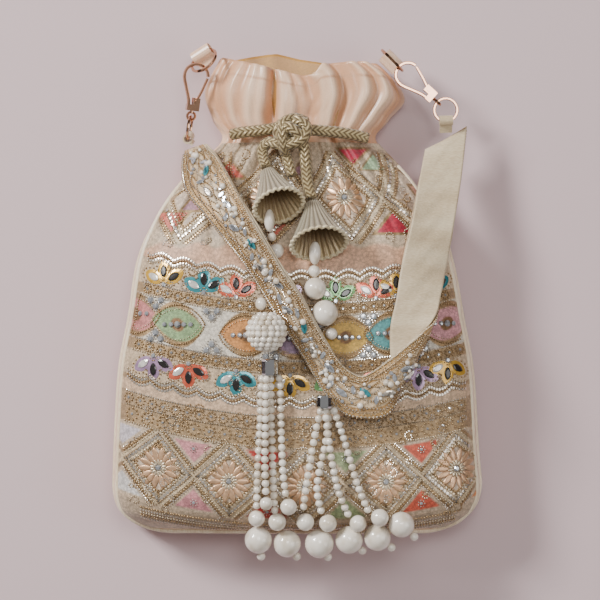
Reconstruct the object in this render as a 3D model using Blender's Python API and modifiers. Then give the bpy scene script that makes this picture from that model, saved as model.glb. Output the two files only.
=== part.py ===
"""A potli bag: a drawstring pouch of embroidered satin, lying on its back, with strap and pearl tassels.

X runs across the bag, Y from its base to its mouth, Z up from the floor. Lengths below are in millimetres.
"""
import math

import bmesh
import bpy
import numpy as np
from mathutils import Matrix, Vector

MM = 0.001
FLOOR_HALF = 13.0
OUTER_WALL = 1.0
LINING_INSET = 1.7
LINING_WALL = 0.8
PANEL_LIFT = 0.4
PANEL_WALL = 0.9
PIPING_R = 1.3
CORD_R = 3.0
STRAND_R = 2.0
STRAP_LAYER = 0.7
STRAP_HALF_GAP = 0.6
STRAP_CLEAR = 3.7
TAB_RING_R = 7.2
TAB_RING_WIRE = 0.8
STRAP_RING_R = 5.8
STRAP_RING_WIRE = 0.75
GATE_PIVOT = 18.7
GATE_SIDE = 1.7
EYE_AT = 26.2
EYE_R = 2.0
EYE_WIRE = 0.65

# Height along the bag, half width, rise above the widest line, squareness of the section, middle.
STATIONS = np.array([
    (-117.0, 62.0, 9.0, 2.6, 0.0),
    (-115.0, 74.5, 16.0, 2.8, -0.5),
    (-111.0, 83.5, 24.0, 3.0, -1.0),
    (-105.0, 90.0, 30.0, 3.2, -1.0),
    (-96.0, 92.6, 33.5, 3.2, -0.5),
    (-70.0, 91.3, 34.0, 3.2, -1.0),
    (-36.0, 89.3, 34.0, 3.2, -1.0),
    (-8.0, 84.3, 33.0, 3.1, -1.0),
    (20.0, 79.3, 30.0, 3.0, -1.5),
    (42.0, 71.0, 26.0, 2.8, -1.0),
    (60.0, 59.2, 22.0, 2.6, 0.0),
    (72.0, 48.0, 18.5, 2.4, 1.0),
    (82.0, 40.0, 16.0, 2.2, 1.5),
    (91.0, 46.5, 17.5, 2.2, 2.0),
    (104.0, 52.0, 19.0, 2.3, 4.0),
    (112.5, 48.5, 19.0, 2.3, 3.5),
    (119.0, 41.5, 18.0, 2.3, 1.0),
])
COLUMNS = 40
PANEL_COLUMNS = (2, 18)
PANEL_ROWS = (1, 12)

LOOKS = {
    "satin": ((0.86, 0.66, 0.54), 0.35, 0.0),
    "lining": ((0.72, 0.50, 0.26), 0.40, 0.0),
    "embroidery": ((0.78, 0.66, 0.56), 0.60, 0.0),
    "piping": ((0.90, 0.78, 0.66), 0.40, 0.0),
    "rose_gold": ((0.85, 0.62, 0.48), 0.20, 1.0),
    "zari_cord": ((0.70, 0.60, 0.40), 0.55, 0.3),
    "bell_cloth": ((0.62, 0.58, 0.48), 0.50, 0.2),
    "pearl": ((0.92, 0.89, 0.83), 0.20, 0.0),
    "chrome": ((0.80, 0.82, 0.82), 0.08, 1.0),
    "dupion": ((0.80, 0.73, 0.62), 0.55, 0.0),
}


def clear_scene():
    for old in list(bpy.data.objects):
        bpy.data.objects.remove(old, do_unlink=True)


def new_collection(name, hidden=False):
    made = bpy.data.collections.new(name)
    made.hide_render = hidden
    bpy.context.scene.collection.children.link(made)
    return made


def look(name):
    """The material of this name, made the first time that it is asked for."""
    if name in bpy.data.materials:
        return bpy.data.materials[name]
    colour, roughness, metallic = LOOKS[name]
    made = bpy.data.materials.new(name)
    made.use_nodes = True
    shader = made.node_tree.nodes["Principled BSDF"]
    shader.inputs["Base Color"].default_value = (*colour, 1.0)
    shader.inputs["Roughness"].default_value = roughness
    shader.inputs["Metallic"].default_value = metallic
    return made


def place(name, data, look_name, matrix=None, group="potli_bag"):
    """Link the data as an object of this name, wearing a look, at a place."""
    made = bpy.data.objects.new(name, data)
    data.materials.clear()
    data.materials.append(look(look_name))
    bpy.data.collections[group].objects.link(made)
    if matrix is not None:
        made.matrix_world = matrix
    return made


def hinge_point(name, point, children):
    """An empty on a joint's axis that the moving pieces hang from, with their places kept."""
    at = Matrix.Translation(Vector(point) * MM)
    empty = bpy.data.objects.new(name, None)
    bpy.data.collections["potli_bag"].objects.link(empty)
    empty.matrix_world = at
    for child in children:
        made = bpy.data.objects[child]
        made.parent = empty
        made.matrix_parent_inverse = at.inverted()


def grid_mesh(name, rows, wrap, caps=()):
    """A mesh over rows of points (in mm); wrap closes each row, caps fills the first or last row."""
    rows = np.asarray(rows, float) * MM
    count, width = rows.shape[:2]
    quads = []
    for i in range(count - 1):
        for j in range(width if wrap else width - 1):
            k = (j + 1) % width
            quads.append((i * width + j, i * width + k, (i + 1) * width + k, (i + 1) * width + j))
    if "first" in caps:
        quads.append(tuple(range(width))[::-1])
    if "last" in caps:
        quads.append(tuple((count - 1) * width + j for j in range(width)))
    mesh = bpy.data.meshes.new(name)
    mesh.from_pydata(rows.reshape(-1, 3).tolist(), [], quads)
    return mesh


def outward(mesh):
    """Turn every face of a closed mesh outwards."""
    work = bmesh.new()
    work.from_mesh(mesh)
    bmesh.ops.recalc_face_normals(work, faces=work.faces)
    if work.calc_volume(signed=True) < 0:
        bmesh.ops.reverse_faces(work, faces=work.faces)
    work.to_mesh(mesh)
    work.free()
    return mesh


def solidify(obj, thickness, offset):
    shell = obj.modifiers.new("wall", "SOLIDIFY")
    shell.thickness = thickness * MM
    shell.offset = offset
    shell.use_even_offset = True
    return obj


def station(y):
    """(half width, rise, squareness, middle) of the bag's section at height y."""
    return [float(np.interp(y, STATIONS[:, 0], STATIONS[:, k])) for k in (1, 2, 3, 4)]


def section_point(half, rise, power, middle, turn):
    """A squared oval: flat where it would go below the floor, domed above its widest line."""
    c, s = math.cos(turn), math.sin(turn)
    up = power if s > 0 else 4.0
    x = math.copysign(abs(c) ** (2 / up), c) * half + middle
    low = min(FLOOR_HALF, rise) * 1.06
    z = FLOOR_HALF + (rise if s > 0 else low) * math.copysign(abs(s) ** (2 / up), s)
    return x, max(z, 0.0)


def bag_rows():
    """The outer surface, row by row from the base to the mouth. The front rim dips and the back rim rises."""
    rows = []
    for i, (y, half, rise, power, middle) in enumerate(STATIONS):
        above = max(0.0, (y - 91.0) / 28.0)
        row = []
        for j in range(COLUMNS):
            turn = 2 * math.pi * j / COLUMNS
            x, z = section_point(half, rise, power, middle, turn)
            row.append((x, y + above * (0.5 - 4.5 * math.sin(turn)), z))
        rows.append(row)
    return np.array(rows)


def front_z(x, y):
    """Height of the bag's front at a place, or 0 beside the bag."""
    half, rise, power, middle = station(y)
    across = abs(x - middle) / half
    if across >= 1 or y < STATIONS[0, 0]:
        return 0.0
    return FLOOR_HALF + rise * (1 - across ** power) ** (1 / power)


def row_normals(rows):
    """Outward unit normals of a wrapped grid."""
    along = np.gradient(rows, axis=0)
    around = np.roll(rows, -1, axis=1) - np.roll(rows, 1, axis=1)
    found = np.cross(along, around)
    return found / np.linalg.norm(found, axis=2, keepdims=True)


def make_pouch():
    """Outer bag, lining, front panel and the two pipings, all from one surface."""
    rows = bag_rows()
    normals = row_normals(rows)
    outer = place("outer_bag", outward_shell("outer_bag", rows), "satin")
    solidify(outer, OUTER_WALL, -1.0)
    inner = rows - normals * LINING_INSET
    inner[0, :, 1] = rows[0, :, 1] + LINING_INSET
    lining = place("lining", outward_shell("lining", inner), "lining")
    solidify(lining, LINING_WALL, -1.0)
    first, last = PANEL_ROWS
    left, right = PANEL_COLUMNS
    patch = rows[first:last, left:right + 1] + normals[first:last, left:right + 1] * PANEL_LIFT
    panel = place("front_panel", grid_mesh("front_panel", patch, wrap=False), "embroidery")
    solidify(panel, PANEL_WALL, -1.0)
    lift = PIPING_R + 0.45
    raised = rows + normals * lift
    low, high = left - 1, right + 1
    front = [*raised[last - 1:0:-1, low], *raised[0, low + 1:high], *raised[1:last, high]]
    tube("piping_front", front, PIPING_R, "piping")
    low, high = COLUMNS - 2, COLUMNS // 2 + 2
    back = [*raised[last - 1:0:-1, low], *raised[0, low - 1:high:-1], *raised[1:last, high]]
    back = [(x, y, max(z, PIPING_R + 0.3)) for x, y, z in back]
    tube("piping_back", back, PIPING_R, "piping")


def outward_shell(name, rows):
    """The open shell of the pouch, with its base closed and its faces turned out."""
    mesh = grid_mesh(name, rows, wrap=True, caps=("first",))
    work = bmesh.new()
    work.from_mesh(mesh)
    bmesh.ops.recalc_face_normals(work, faces=work.faces)
    work.faces.ensure_lookup_table()
    base = max(work.faces, key=lambda face: len(face.verts))
    if base.normal.y > 0:
        bmesh.ops.reverse_faces(work, faces=work.faces)
    work.to_mesh(mesh)
    work.free()
    return mesh


def tube(name, points, radius, look_name, widths=None, resolution=1):
    """A round tube along points, with filled caps; widths scales its radius at each point."""
    curve = bpy.data.curves.new(name, "CURVE")
    curve.dimensions = "3D"
    curve.bevel_depth = radius * MM
    curve.bevel_resolution = resolution
    curve.use_fill_caps = True
    line = curve.splines.new("POLY")
    line.points.add(len(points) - 1)
    for at, (point, target) in enumerate(zip(points, line.points)):
        target.co = (*(float(value) * MM for value in point), 1.0)
        target.radius = 1.0 if widths is None else widths[at]
    return place(name, curve, look_name)


def smooth_path(points, count):
    """Points along a smooth curve through the given ones."""
    points = np.asarray(points, float)
    steps = np.linspace(0, len(points) - 1, count)
    padded = np.vstack([2 * points[0] - points[1], points, 2 * points[-1] - points[-2]])
    found = []
    for step in steps:
        k = min(int(step), len(points) - 2)
        t = step - k
        a, b, c, d = padded[k:k + 4]
        found.append(0.5 * (2 * b + (c - a) * t + (2 * a - 5 * b + 4 * c - d) * t ** 2
                            + (3 * b - a - 3 * c + d) * t ** 3))
    return np.array(found)


def frame_matrix(origin, x_axis, z_hint):
    """A placement whose X runs along x_axis and whose Z leans to z_hint."""
    x = Vector(x_axis).normalized()
    y = Vector(z_hint).cross(x).normalized()
    z = x.cross(y)
    turn = Matrix((x, y, z)).transposed().to_4x4()
    return Matrix.Translation(Vector(origin) * MM) @ turn


def torus_mesh(name, radius, wire, around=20, sides=6):
    """A closed round ring about its own Z."""
    rows = []
    for i in range(around):
        a = 2 * math.pi * i / around
        rows.append([((radius + wire * math.cos(b)) * math.cos(a), (radius + wire * math.cos(b)) * math.sin(a),
                      wire * math.sin(b)) for b in (2 * math.pi * j / sides for j in range(sides))])
    rows.append(rows[0])
    mesh = grid_mesh(name, rows, wrap=True)
    work = bmesh.new()
    work.from_mesh(mesh)
    bmesh.ops.remove_doubles(work, verts=work.verts, dist=1e-6)
    work.to_mesh(mesh)
    work.free()
    return outward(mesh)


def ball(name, centre, radii, look_name, around=14, rings=9, turn=None):
    """An oval bead: a sphere scaled along its own axes."""
    mesh = bpy.data.meshes.new(name)
    work = bmesh.new()
    bmesh.ops.create_uvsphere(work, u_segments=around, v_segments=rings, radius=1.0)
    bmesh.ops.scale(work, vec=Vector(radii) * MM, verts=work.verts)
    if turn is not None:
        bmesh.ops.rotate(work, matrix=turn.to_3x3(), verts=work.verts)
    work.to_mesh(mesh)
    work.free()
    return place(name, mesh, look_name, Matrix.Translation(Vector(centre) * MM))


def cylinder_mesh(name, radius, start, end, sides=16, axis="Z"):
    """A plain cylinder along an axis, from start to end."""
    mesh = bpy.data.meshes.new(name)
    work = bmesh.new()
    bmesh.ops.create_cone(work, cap_ends=True, segments=sides, radius1=radius * MM, radius2=radius * MM,
                          depth=(end - start) * MM)
    bmesh.ops.translate(work, vec=(0, 0, (start + end) / 2 * MM), verts=work.verts)
    if axis == "X":
        bmesh.ops.rotate(work, matrix=Matrix.Rotation(math.pi / 2, 3, "Y"), verts=work.verts)
    work.to_mesh(mesh)
    work.free()
    return mesh


def box_mesh(name, low, high):
    mesh = bpy.data.meshes.new(name)
    work = bmesh.new()
    bmesh.ops.create_cube(work, size=1.0)
    low, high = Vector(low) * MM, Vector(high) * MM
    bmesh.ops.scale(work, vec=high - low, verts=work.verts)
    bmesh.ops.translate(work, vec=(low + high) / 2, verts=work.verts)
    work.to_mesh(mesh)
    work.free()
    return mesh


def tube_mesh(name, points, radius, resolution=1):
    """The mesh of a capped tube, ready to be joined to others."""
    held = tube(name + "_line", points, radius, "rose_gold", resolution=resolution)
    graph = bpy.context.evaluated_depsgraph_get()
    mesh = bpy.data.meshes.new_from_object(held.evaluated_get(graph))
    bpy.data.objects.remove(held, do_unlink=True)
    work = bmesh.new()
    work.from_mesh(mesh)
    bmesh.ops.remove_doubles(work, verts=work.verts, dist=1e-6)
    work.to_mesh(mesh)
    work.free()
    return outward(mesh)


def joined(name, base, others, cutters, matrix, look_name):
    """One solid: base with others joined to it and cutters taken from it, in that order."""
    made = place(name, base, look_name, matrix)
    steps = [("UNION", mesh) for mesh in others] + [("DIFFERENCE", mesh) for mesh in cutters]
    for at, (operation, mesh) in enumerate(steps):
        tool = place(f"{name}_tool_{at}", mesh, look_name, matrix, "cutters")
        tool.hide_render = True
        tool.display_type = "WIRE"
        step = made.modifiers.new(f"step_{at}", "BOOLEAN")
        step.operation = operation
        step.solver = "EXACT"
        step.object = tool
    return made


def make_clasp(side, matrix, eye_turn):
    """A trigger clasp. Its own X runs from the tip of the hook to the swivel eye, Z is normal to the hook."""
    hook_line = smooth_path([(21.5, -2.0, 0), (17.5, -2.5, 0), (12.0, -4.4, 0), (7.0, -6.0, 0), (3.2, -5.4, 0),
                             (0.9, -3.2, 0), (0.0, 0, 0), (0.9, 3.2, 0), (3.2, 5.4, 0), (5.6, 6.1, 0)], 22)
    block = box_mesh("block", (20.3, -3.0, -2.1), (23.4, 3.3, 2.1))
    cheeks = [box_mesh("cheek", (16.9, -0.2, low), (20.8, 3.3, low + 0.9)) for low in (1.2, -2.1)]
    pin_hole = cylinder_mesh("pin_hole", 0.85, -4.0, 4.0)
    for vertex in pin_hole.vertices:
        vertex.co += Vector((GATE_PIVOT, GATE_SIDE, 0)) * MM
    post_hole = cylinder_mesh("post_hole", 1.1, 21.2, 26.0, axis="X")
    joined(f"{side}_hook", block, [tube_mesh("hook", hook_line, 0.85), *cheeks], [pin_hole, post_hole],
           matrix, "rose_gold")
    gate_matrix = matrix @ Matrix.Translation(Vector((GATE_PIVOT, GATE_SIDE, 0)) * MM)
    bar = tube_mesh("bar", [(-12.2, 4.2, 0), (-6.0, 2.3, 0), (-0.9, 0.3, 0)], 0.7)
    hub = cylinder_mesh("hub", 1.4, -0.85, 0.85, sides=14)
    joined(f"{side}_gate", hub, [bar], [cylinder_mesh("bore", 0.85, -3.0, 3.0)], gate_matrix, "rose_gold")
    pin = cylinder_mesh("pin", 0.6, -2.6, 2.6, sides=12)
    heads = [cylinder_mesh("head", 1.1, low, low + 0.6, sides=12) for low in (-3.0, 2.4)]
    joined(f"{side}_rivet", pin, heads, [], gate_matrix, "rose_gold")
    post = cylinder_mesh("post", 0.8, 21.6, EYE_AT - 1.6, sides=12, axis="X")
    ring = torus_mesh("eye", EYE_R, EYE_WIRE, 14, 6)
    ring.transform(Matrix.Translation(Vector((EYE_AT, 0, 0)) * MM) @ Matrix.Rotation(eye_turn, 4, "X"))
    joined(f"{side}_eye", post, [ring], [], matrix, "rose_gold")


def make_loop(name, centre, axis, ring_way, tongue_end, sizes, look_name):
    """A rolled loop of cloth about a ring: a short tube on a tongue. Returns where the ring's middle is."""
    outer, bore, half_length, ring_radius = sizes
    matrix = frame_matrix(centre, axis, (0, 0, 1))
    roll = cylinder_mesh("roll", outer, -half_length, half_length, sides=18, axis="X")
    end = matrix.inverted() @ (Vector(tongue_end) * MM) / MM
    reach = math.hypot(end.y, end.z)
    tongue = box_mesh("tongue", (0.3 - half_length, (outer + bore) / 2, -0.6), (half_length - 0.3, reach, 0.6))
    tongue.transform(Matrix.Rotation(math.atan2(end.z, end.y), 4, "X"))
    hole = cylinder_mesh("hole", bore, -9.0, 9.0, sides=18, axis="X")
    joined(name, roll, [tongue], [hole], matrix, look_name)
    along = Vector(axis).normalized()
    away = Vector(ring_way)
    away = (away - along * away.dot(along)).normalized()
    half_sag = (ring_radius - math.sqrt(ring_radius ** 2 - half_length ** 2)) / 2
    return Vector(centre) + away * (ring_radius - half_sag)


def ring_matrix(centre, along, way):
    """The placement of a ring whose plane holds both directions."""
    a = Vector(along).normalized()
    b = Vector(way)
    b = (b - a * b.dot(a)).normalized()
    return Matrix.Translation(Vector(centre) * MM) @ Matrix((a, b, a.cross(b))).transposed().to_4x4()


# Strap: right edge, middle and left edge of its face at stations along it, as (x, y, lift above the bag).
STRAP = [
    ((-46.6, 78.4, 25.0), (-51.8, 76.6, 18.8), (-56.6, 75.0, 13.5)),
    ((-40.5, 72.0, 3.0), (-49.0, 69.0, 4.0), (-57.5, 65.0, 23.0)),
    ((-35.0, 63.0, 4.5), (-45.0, 58.0, 3.0), (-55.0, 53.0, 4.0)),
    ((-29.0, 52.0, 7.0), (-37.0, 47.5, 4.5), (-46.0, 42.0, 2.5)),
    ((-22.5, 40.7, 12.5), (-29.0, 36.5, 7.2), (-36.5, 31.0, 2.5)),
    ((-14.5, 27.0, 13.5), (-20.0, 22.5, 8.2), (-25.5, 18.0, 2.5)),
    ((-7.0, 14.5, 13.5), (-12.0, 10.5, 8.5), (-17.5, 5.5, 3.0)),
    ((1.0, 3.0, 12.0), (-4.0, -2.0, 8.0), (-9.5, -8.0, 3.0)),
    ((8.0, -10.0, 9.0), (3.0, -14.5, 6.0), (-2.0, -20.0, 3.0)),
    ((15.0, -22.0, 6.0), (11.0, -27.5, 4.0), (6.0, -33.5, 2.5)),
    ((22.0, -32.0, 3.5), (18.0, -39.5, 3.0), (14.0, -46.5, 2.5)),
    ((30.0, -37.0, 3.0), (28.0, -47.0, 3.0), (24.0, -56.5, 2.5)),
    ((36.0, -35.5, 3.5), (39.0, -46.0, 4.5), (42.0, -57.0, 3.5)),
    ((43.0, -30.5, 6.5), (46.5, -41.0, 7.0), (48.0, -47.5, 1.8)),
    ((52.0, -23.0, 8.5), (55.5, -31.0, 7.0), (48.0, -38.0, 0.8)),
    ((60.5, -15.5, 9.5), (62.0, -19.0, 6.0), (45.5, -27.5, 0.6)),
    ((67.5, -9.0, 8.0), (60.0, -11.5, 4.0), (45.5, -13.0, 1.0)),
    ((70.2, 1.0, 5.0), (59.0, -1.0, 3.0), (48.5, 1.0, 2.0)),
    ((73.5, 18.0, 4.0), (62.0, 15.5, 2.5), (51.0, 16.5, 2.0)),
    ((78.0, 40.0, 33.0), (66.5, 39.0, 5.0), (56.0, 38.0, 3.0)),
    ((82.0, 62.0, 25.0), (71.0, 61.0, 26.5), (60.5, 59.5, 29.0)),
    ((85.3, 88.0, 18.5), (75.0, 81.8, 19.2), (64.5, 76.0, 19.5)),
]
STRAP_STEPS = 48
STRAP_ACROSS = 4


def strap_surface():
    """Middle surface of the strap as a grid of points, held clear of the bag's front."""
    rows = [[(x, y, lift + (front_z(x, y) + STRAP_CLEAR if front_z(x, y) else 0.0)) for x, y, lift in row]
            for row in STRAP]
    lines = [smooth_path([row[k] for row in rows], STRAP_STEPS) for k in range(3)]
    across = np.linspace(0, 1, STRAP_ACROSS)[None, :, None]
    a, m, b = (line[:, None, :] for line in lines)
    bow = 2 * m - (a + b) / 2
    return (1 - across) ** 2 * a + 2 * across * (1 - across) * bow + across ** 2 * b


def make_strap():
    """Two layers of cloth, the embroidered face and its lining, a hair apart."""
    middle = strap_surface()
    along = np.gradient(middle, axis=0)
    across = np.gradient(middle, axis=1)
    normal = np.cross(along, across)
    normal /= np.linalg.norm(normal, axis=2, keepdims=True)
    if normal[10, 2, 2] < 0:
        normal = -normal
    for name, side, look_name in (("strap_face", 1.0, "embroidery"), ("strap_lining", -1.0, "dupion")):
        near = middle + normal * side * STRAP_HALF_GAP
        far = middle + normal * side * (STRAP_HALF_GAP + STRAP_LAYER)
        rows = np.concatenate([near, far[:, ::-1]], axis=1)
        place(name, outward(grid_mesh(name, rows, wrap=True, caps=("first", "last"))), look_name)


def over_front(x, y, lift):
    """A point this far above the bag's front."""
    return x, y, front_z(x, y) + lift


CORD_LIFT = CORD_R + 2.3
DRAWSTRING = {
    "drawstring_left_run": [(-33.8, 82.6, 7.2), (-31.4, 83.1, 6.4), (-27.5, 83.8, CORD_LIFT + 0.5), (-22.0, 84.3, CORD_LIFT),
                            (-16.2, 84.2, CORD_LIFT)],
    "drawstring_right_run": [(35.4, 80.6, 7.2), (33.0, 81.2, 6.4), (29.0, 82.2, CORD_LIFT + 0.5), (20.0, 83.6, CORD_LIFT),
                             (9.0, 84.8, CORD_LIFT)],
    "drawstring_left_tail": [(-16.4, 78.6, CORD_LIFT), (-17.6, 75.0, CORD_LIFT), (-17.2, 70.5, CORD_LIFT + 0.4),
                             (-15.7, 66.0, CORD_LIFT + 2.6)],
    "drawstring_right_tail": [(3.2, 72.6, CORD_LIFT + 0.2), (4.0, 66.0, CORD_LIFT), (4.8, 58.0, CORD_LIFT + 0.4),
                              (6.9, 50.2, CORD_LIFT + 2.6)],
    "drawstring_bow": [(-6.0, 72.4, CORD_LIFT), (-4.8, 68.0, CORD_LIFT - 0.3), (-2.8, 61.5, CORD_LIFT - 0.3)],
}


def make_drawstring():
    """The cord: a run out of each side of the neck, the knot, two tails and the short bow between them."""
    for name, route in DRAWSTRING.items():
        line = smooth_path([over_front(*point) for point in route], 10)
        tube(name, line, CORD_R * (0.9 if name.endswith("bow") else 1.0), "zari_cord", resolution=2)
    ball("drawstring_knot", over_front(-3.6, 82.0, 8.4), (10.4, 7.4, 6.4), "zari_cord", 16, 10)


BELLS = {
    "left": ((-15.0, 63.5, 9.0), (-9.3, 46.0, 15.5), 12.8, 0.62),
    "right": ((7.3, 47.6, 8.5), (10.4, 27.5, 15.2), 14.1, 0.55),
}


def make_bell(side):
    """A flared cone of cloth, open at both ends; its rim leans towards the front of the bag."""
    top, mouth, radius, lean = BELLS[side]
    top = Vector((top[0], top[1], front_z(top[0], top[1]) + top[2]))
    mouth = Vector((mouth[0], mouth[1], front_z(mouth[0], mouth[1]) + mouth[2]))
    axis = (mouth - top).normalized()
    flat = Vector((axis.x, axis.y, 0)).normalized()
    rows = []
    for t in np.linspace(0, 1, 6):
        turn = (flat * math.sqrt(1 - lean ** 2) + Vector((0, 0, lean))).normalized()
        normal = axis.lerp(turn, t ** 1.5).normalized()
        u = Vector((0, 0, 1)).cross(normal).normalized()
        v = normal.cross(u)
        r = 3.6 + (radius - 3.6) * t ** 1.15
        centre = top.lerp(mouth, t)
        rows.append([tuple(centre + (u * math.cos(a) + v * math.sin(a)) * r)
                     for a in (2 * math.pi * j / 18 for j in range(18))])
    mesh = grid_mesh(f"{side}_bell", rows, wrap=True)
    solidify(place(f"{side}_bell", mesh, "bell_cloth"), 0.8, 0.0)


# Beads on each stem, top to bottom: name, x, y, radii across and along, height of the centre above the bag.
STEMS = {
    "left": [("oval", -14.0, 39.0, 2.6, 5.6, 10.8), ("small", -12.8, 31.0, 2.2, 2.2, 8.6),
             ("medium", -10.6, 24.2, 3.7, 3.7, 6.2), ("pear", -18.2, -1.9, 2.7, 3.2, 9.4)],
    "right": [("oval", 8.3, 23.0, 2.9, 5.8, 10.6), ("small", 8.0, 14.2, 2.9, 2.9, 8.4),
              ("medium", 8.5, 5.6, 5.5, 5.5, 7.6), ("large", 13.2, -6.4, 6.4, 6.4, 8.4),
              ("end", 16.4, -16.6, 3.0, 3.0, 5.0)],
}
SEED_BALL = (-15.3, -15.4, 10.5, 14.6)
CAPS = {"left": (-13.8, -33.0, 4.4, 4.2, 7.4), "right": (12.8, -49.8, 3.9, 3.4, 11.0)}

# Strands: x, y and height above the bag at points from the cap down, then the pearls as (x, y, z, radius).
FRINGE_HINGES = {"left": (-13.8, -28.8, 54.3), "right": (12.8, -46.4, 58.0)}
STRANDS = {
    "left": {
        "a": ([(-17.9, -40.0, 5.6), (-18.6, -60.0, 4.2), (-19.8, -84.0, 4.9), (-20.3, -101.0, 5.0)],
              [(-20.4, -107.6, 48.0, 4.1), (-19.6, -118.8, 41.5, 6.8), (-18.3, -127.2, 38.5, 2.1)]),
        "b": ([(-13.4, -40.0, 5.6), (-13.0, -62.0, 4.2), (-12.4, -84.0, 5.2), (-11.5, -103.0, 5.4)],
              [(-10.2, -109.4, 47.6, 4.4), (-5.4, -120.6, 41.5, 6.8), (-0.6, -127.3, 38.5, 2.1)]),
        "c": ([(-8.9, -40.0, 5.6), (-8.3, -62.0, 4.2), (-7.4, -84.0, 4.9), (-6.0, -95.5, 4.9)],
              [(-4.6, -101.6, 51.8, 4.1)]),
        "d": ([(-15.6, -40.0, 9.8), (-16.0, -60.0, 8.4), (-16.2, -80.0, 8.4), (-15.8, -94.0, 8.0)],
              [(-15.6, -99.8, 54.0, 3.2)]),
    },
    "right": {
        "e": ([(11.0, -55.0, 5.4), (8.4, -66.0, 4.2), (4.6, -88.0, 5.0), (2.8, -101.5, 5.2)],
              [(3.6, -109.4, 47.4, 4.4), (10.6, -120.6, 41.5, 7.2), (14.8, -127.6, 38.0, 2.1)]),
        "f": ([(15.6, -55.0, 5.4), (13.6, -70.0, 4.2), (9.4, -91.0, 5.0), (11.4, -104.0, 5.2)],
              [(14.8, -110.0, 47.4, 4.4), (25.3, -118.8, 41.5, 6.9), (32.0, -124.4, 38.0, 2.1)]),
        "g": ([(13.4, -55.0, 9.8), (16.0, -75.0, 8.8), (19.6, -93.0, 5.4), (24.6, -105.4, 5.2)],
              [(29.6, -110.2, 47.0, 4.2), (39.3, -117.6, 42.0, 6.7), (46.4, -122.8, 38.5, 2.1)]),
        "h": ([(18.0, -55.0, 9.2), (23.0, -70.0, 4.6), (29.0, -90.0, 5.0), (34.2, -103.0, 5.4)],
              [(40.2, -107.0, 50.4, 4.4), (51.0, -110.8, 46.6, 6.4), (57.4, -117.0, 43.6, 2.1)]),
    },
}


def make_stems():
    """The beads above each tassel, with the ball of seed pearls, and the two caps."""
    for side, beads in STEMS.items():
        for kind, x, y, across, along, lift in beads:
            ball(f"{side}_{kind}_pearl", (x, y, front_z(x, y) + lift), (across, along, across), "pearl", 12, 8)
    x, y, radius, lift = SEED_BALL
    ball("seed_pearl_ball", (x, y, front_z(x, y) + lift), (radius, radius, radius), "pearl", 16, 12)
    for side, (x, y, radius, half, lift) in CAPS.items():
        cap = cylinder_mesh(f"{side}_cap", radius, -half, half, sides=12)
        turn = Matrix.Translation(Vector((x, y, front_z(x, y) + lift)) * MM) @ Matrix.Rotation(math.pi / 2, 4, "X")
        made = place(f"{side}_cap", cap, "chrome", turn)
        edge = made.modifiers.new("edge", "BEVEL")
        edge.width = 1.2 * MM
        edge.segments = 2
        edge.limit_method = "ANGLE"


def make_strand(side, letter):
    """One string of pearls: the small ones as a plain row, the large ones swelling from it."""
    route, pearls = STRANDS[side][letter]
    row = smooth_path([(x, y, front_z(x, y) + lift) for x, y, lift in route], 12)
    points, widths = list(row), [1.0] * len(row)
    last = np.array(row[-1])
    for x, y, z, radius in pearls:
        centre = np.array((x, y, z))
        way = (centre - last) / np.linalg.norm(centre - last)
        for angle in (-66, -38, 0, 38, 66):
            turn = math.radians(angle)
            points.append(centre + way * radius * math.sin(turn))
            widths.append(radius * math.cos(turn) / STRAND_R)
        last = centre
    tube(f"{side}_strand_{letter}", points, STRAND_R, "pearl", widths)


TAB_SIZES = (3.4, 2.76, 5.2, TAB_RING_R)
END_SIZES = (2.5, 1.85, 3.4, STRAP_RING_R)
CLASPS = {
    "left": {"tip": (-50.3, 118.4, 24.6), "axis": (-0.135, -0.985, -0.10), "normal": (0.26, 0.0, 0.96),
             "tab": (-48.4, 124.4, 17.4), "tab_axis": (0.82, 0.50, 0.24), "ring_way": (1.4, -3.2, 4.4),
             "tab_foot": (-43.8, 119.9, 17.3), "eye_turn": 0.35, "ring_turn": 1.92,
             "strap_end": (-53.0, 78.9, 18.9)},
    "right": {"tip": (50.7, 117.2, 24.8), "axis": (0.735, -0.678, -0.02), "normal": (0.0, 0.0, 1.0),
              "tab": (47.6, 120.6, 18.7), "tab_axis": (0.707, -0.707, 0.0), "ring_way": (-0.05, -0.05, 1.0),
              "tab_foot": (44.2, 117.3, 20.4), "eye_turn": 1.57, "ring_turn": 0.0,
              "strap_end": (74.5, 84.6, 19.9)},
}


def make_hardware():
    """Tabs, their rings, the two clasps, the rings at the ends of the strap and the cloth loops that hold them."""
    for side, at in CLASPS.items():
        middle = make_loop(f"{side}_tab", at["tab"], at["tab_axis"], at["ring_way"], at["tab_foot"],
                           TAB_SIZES, "satin")
        ring = torus_mesh("tab_ring", TAB_RING_R, TAB_RING_WIRE)
        place(f"{side}_tab_ring", ring, "rose_gold", ring_matrix(middle, at["tab_axis"], at["ring_way"]))
        matrix = frame_matrix(at["tip"], at["axis"], at["normal"])
        make_clasp(side, matrix, at["eye_turn"])
        turned = matrix @ Matrix.Rotation(at["ring_turn"], 4, "X")
        strap_ring = turned @ Matrix.Translation(Vector((EYE_AT + STRAP_RING_R, 0, 0)) * MM)
        ring = torus_mesh("strap_ring", STRAP_RING_R, STRAP_RING_WIRE, 20)
        place(f"{side}_strap_ring", ring, "rose_gold", strap_ring)
        far = strap_ring.to_translation() / MM
        way = (Vector(at["strap_end"]) - far).normalized()
        plane = strap_ring.to_3x3().col[2]
        way = (way - plane * way.dot(plane)).normalized()
        half_sag = (STRAP_RING_R - math.sqrt(STRAP_RING_R ** 2 - END_SIZES[2] ** 2)) / 2
        make_loop(f"{side}_strap_end", far + way * (STRAP_RING_R - half_sag), way.cross(plane), -way,
                  at["strap_end"], END_SIZES, "dupion")


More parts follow.
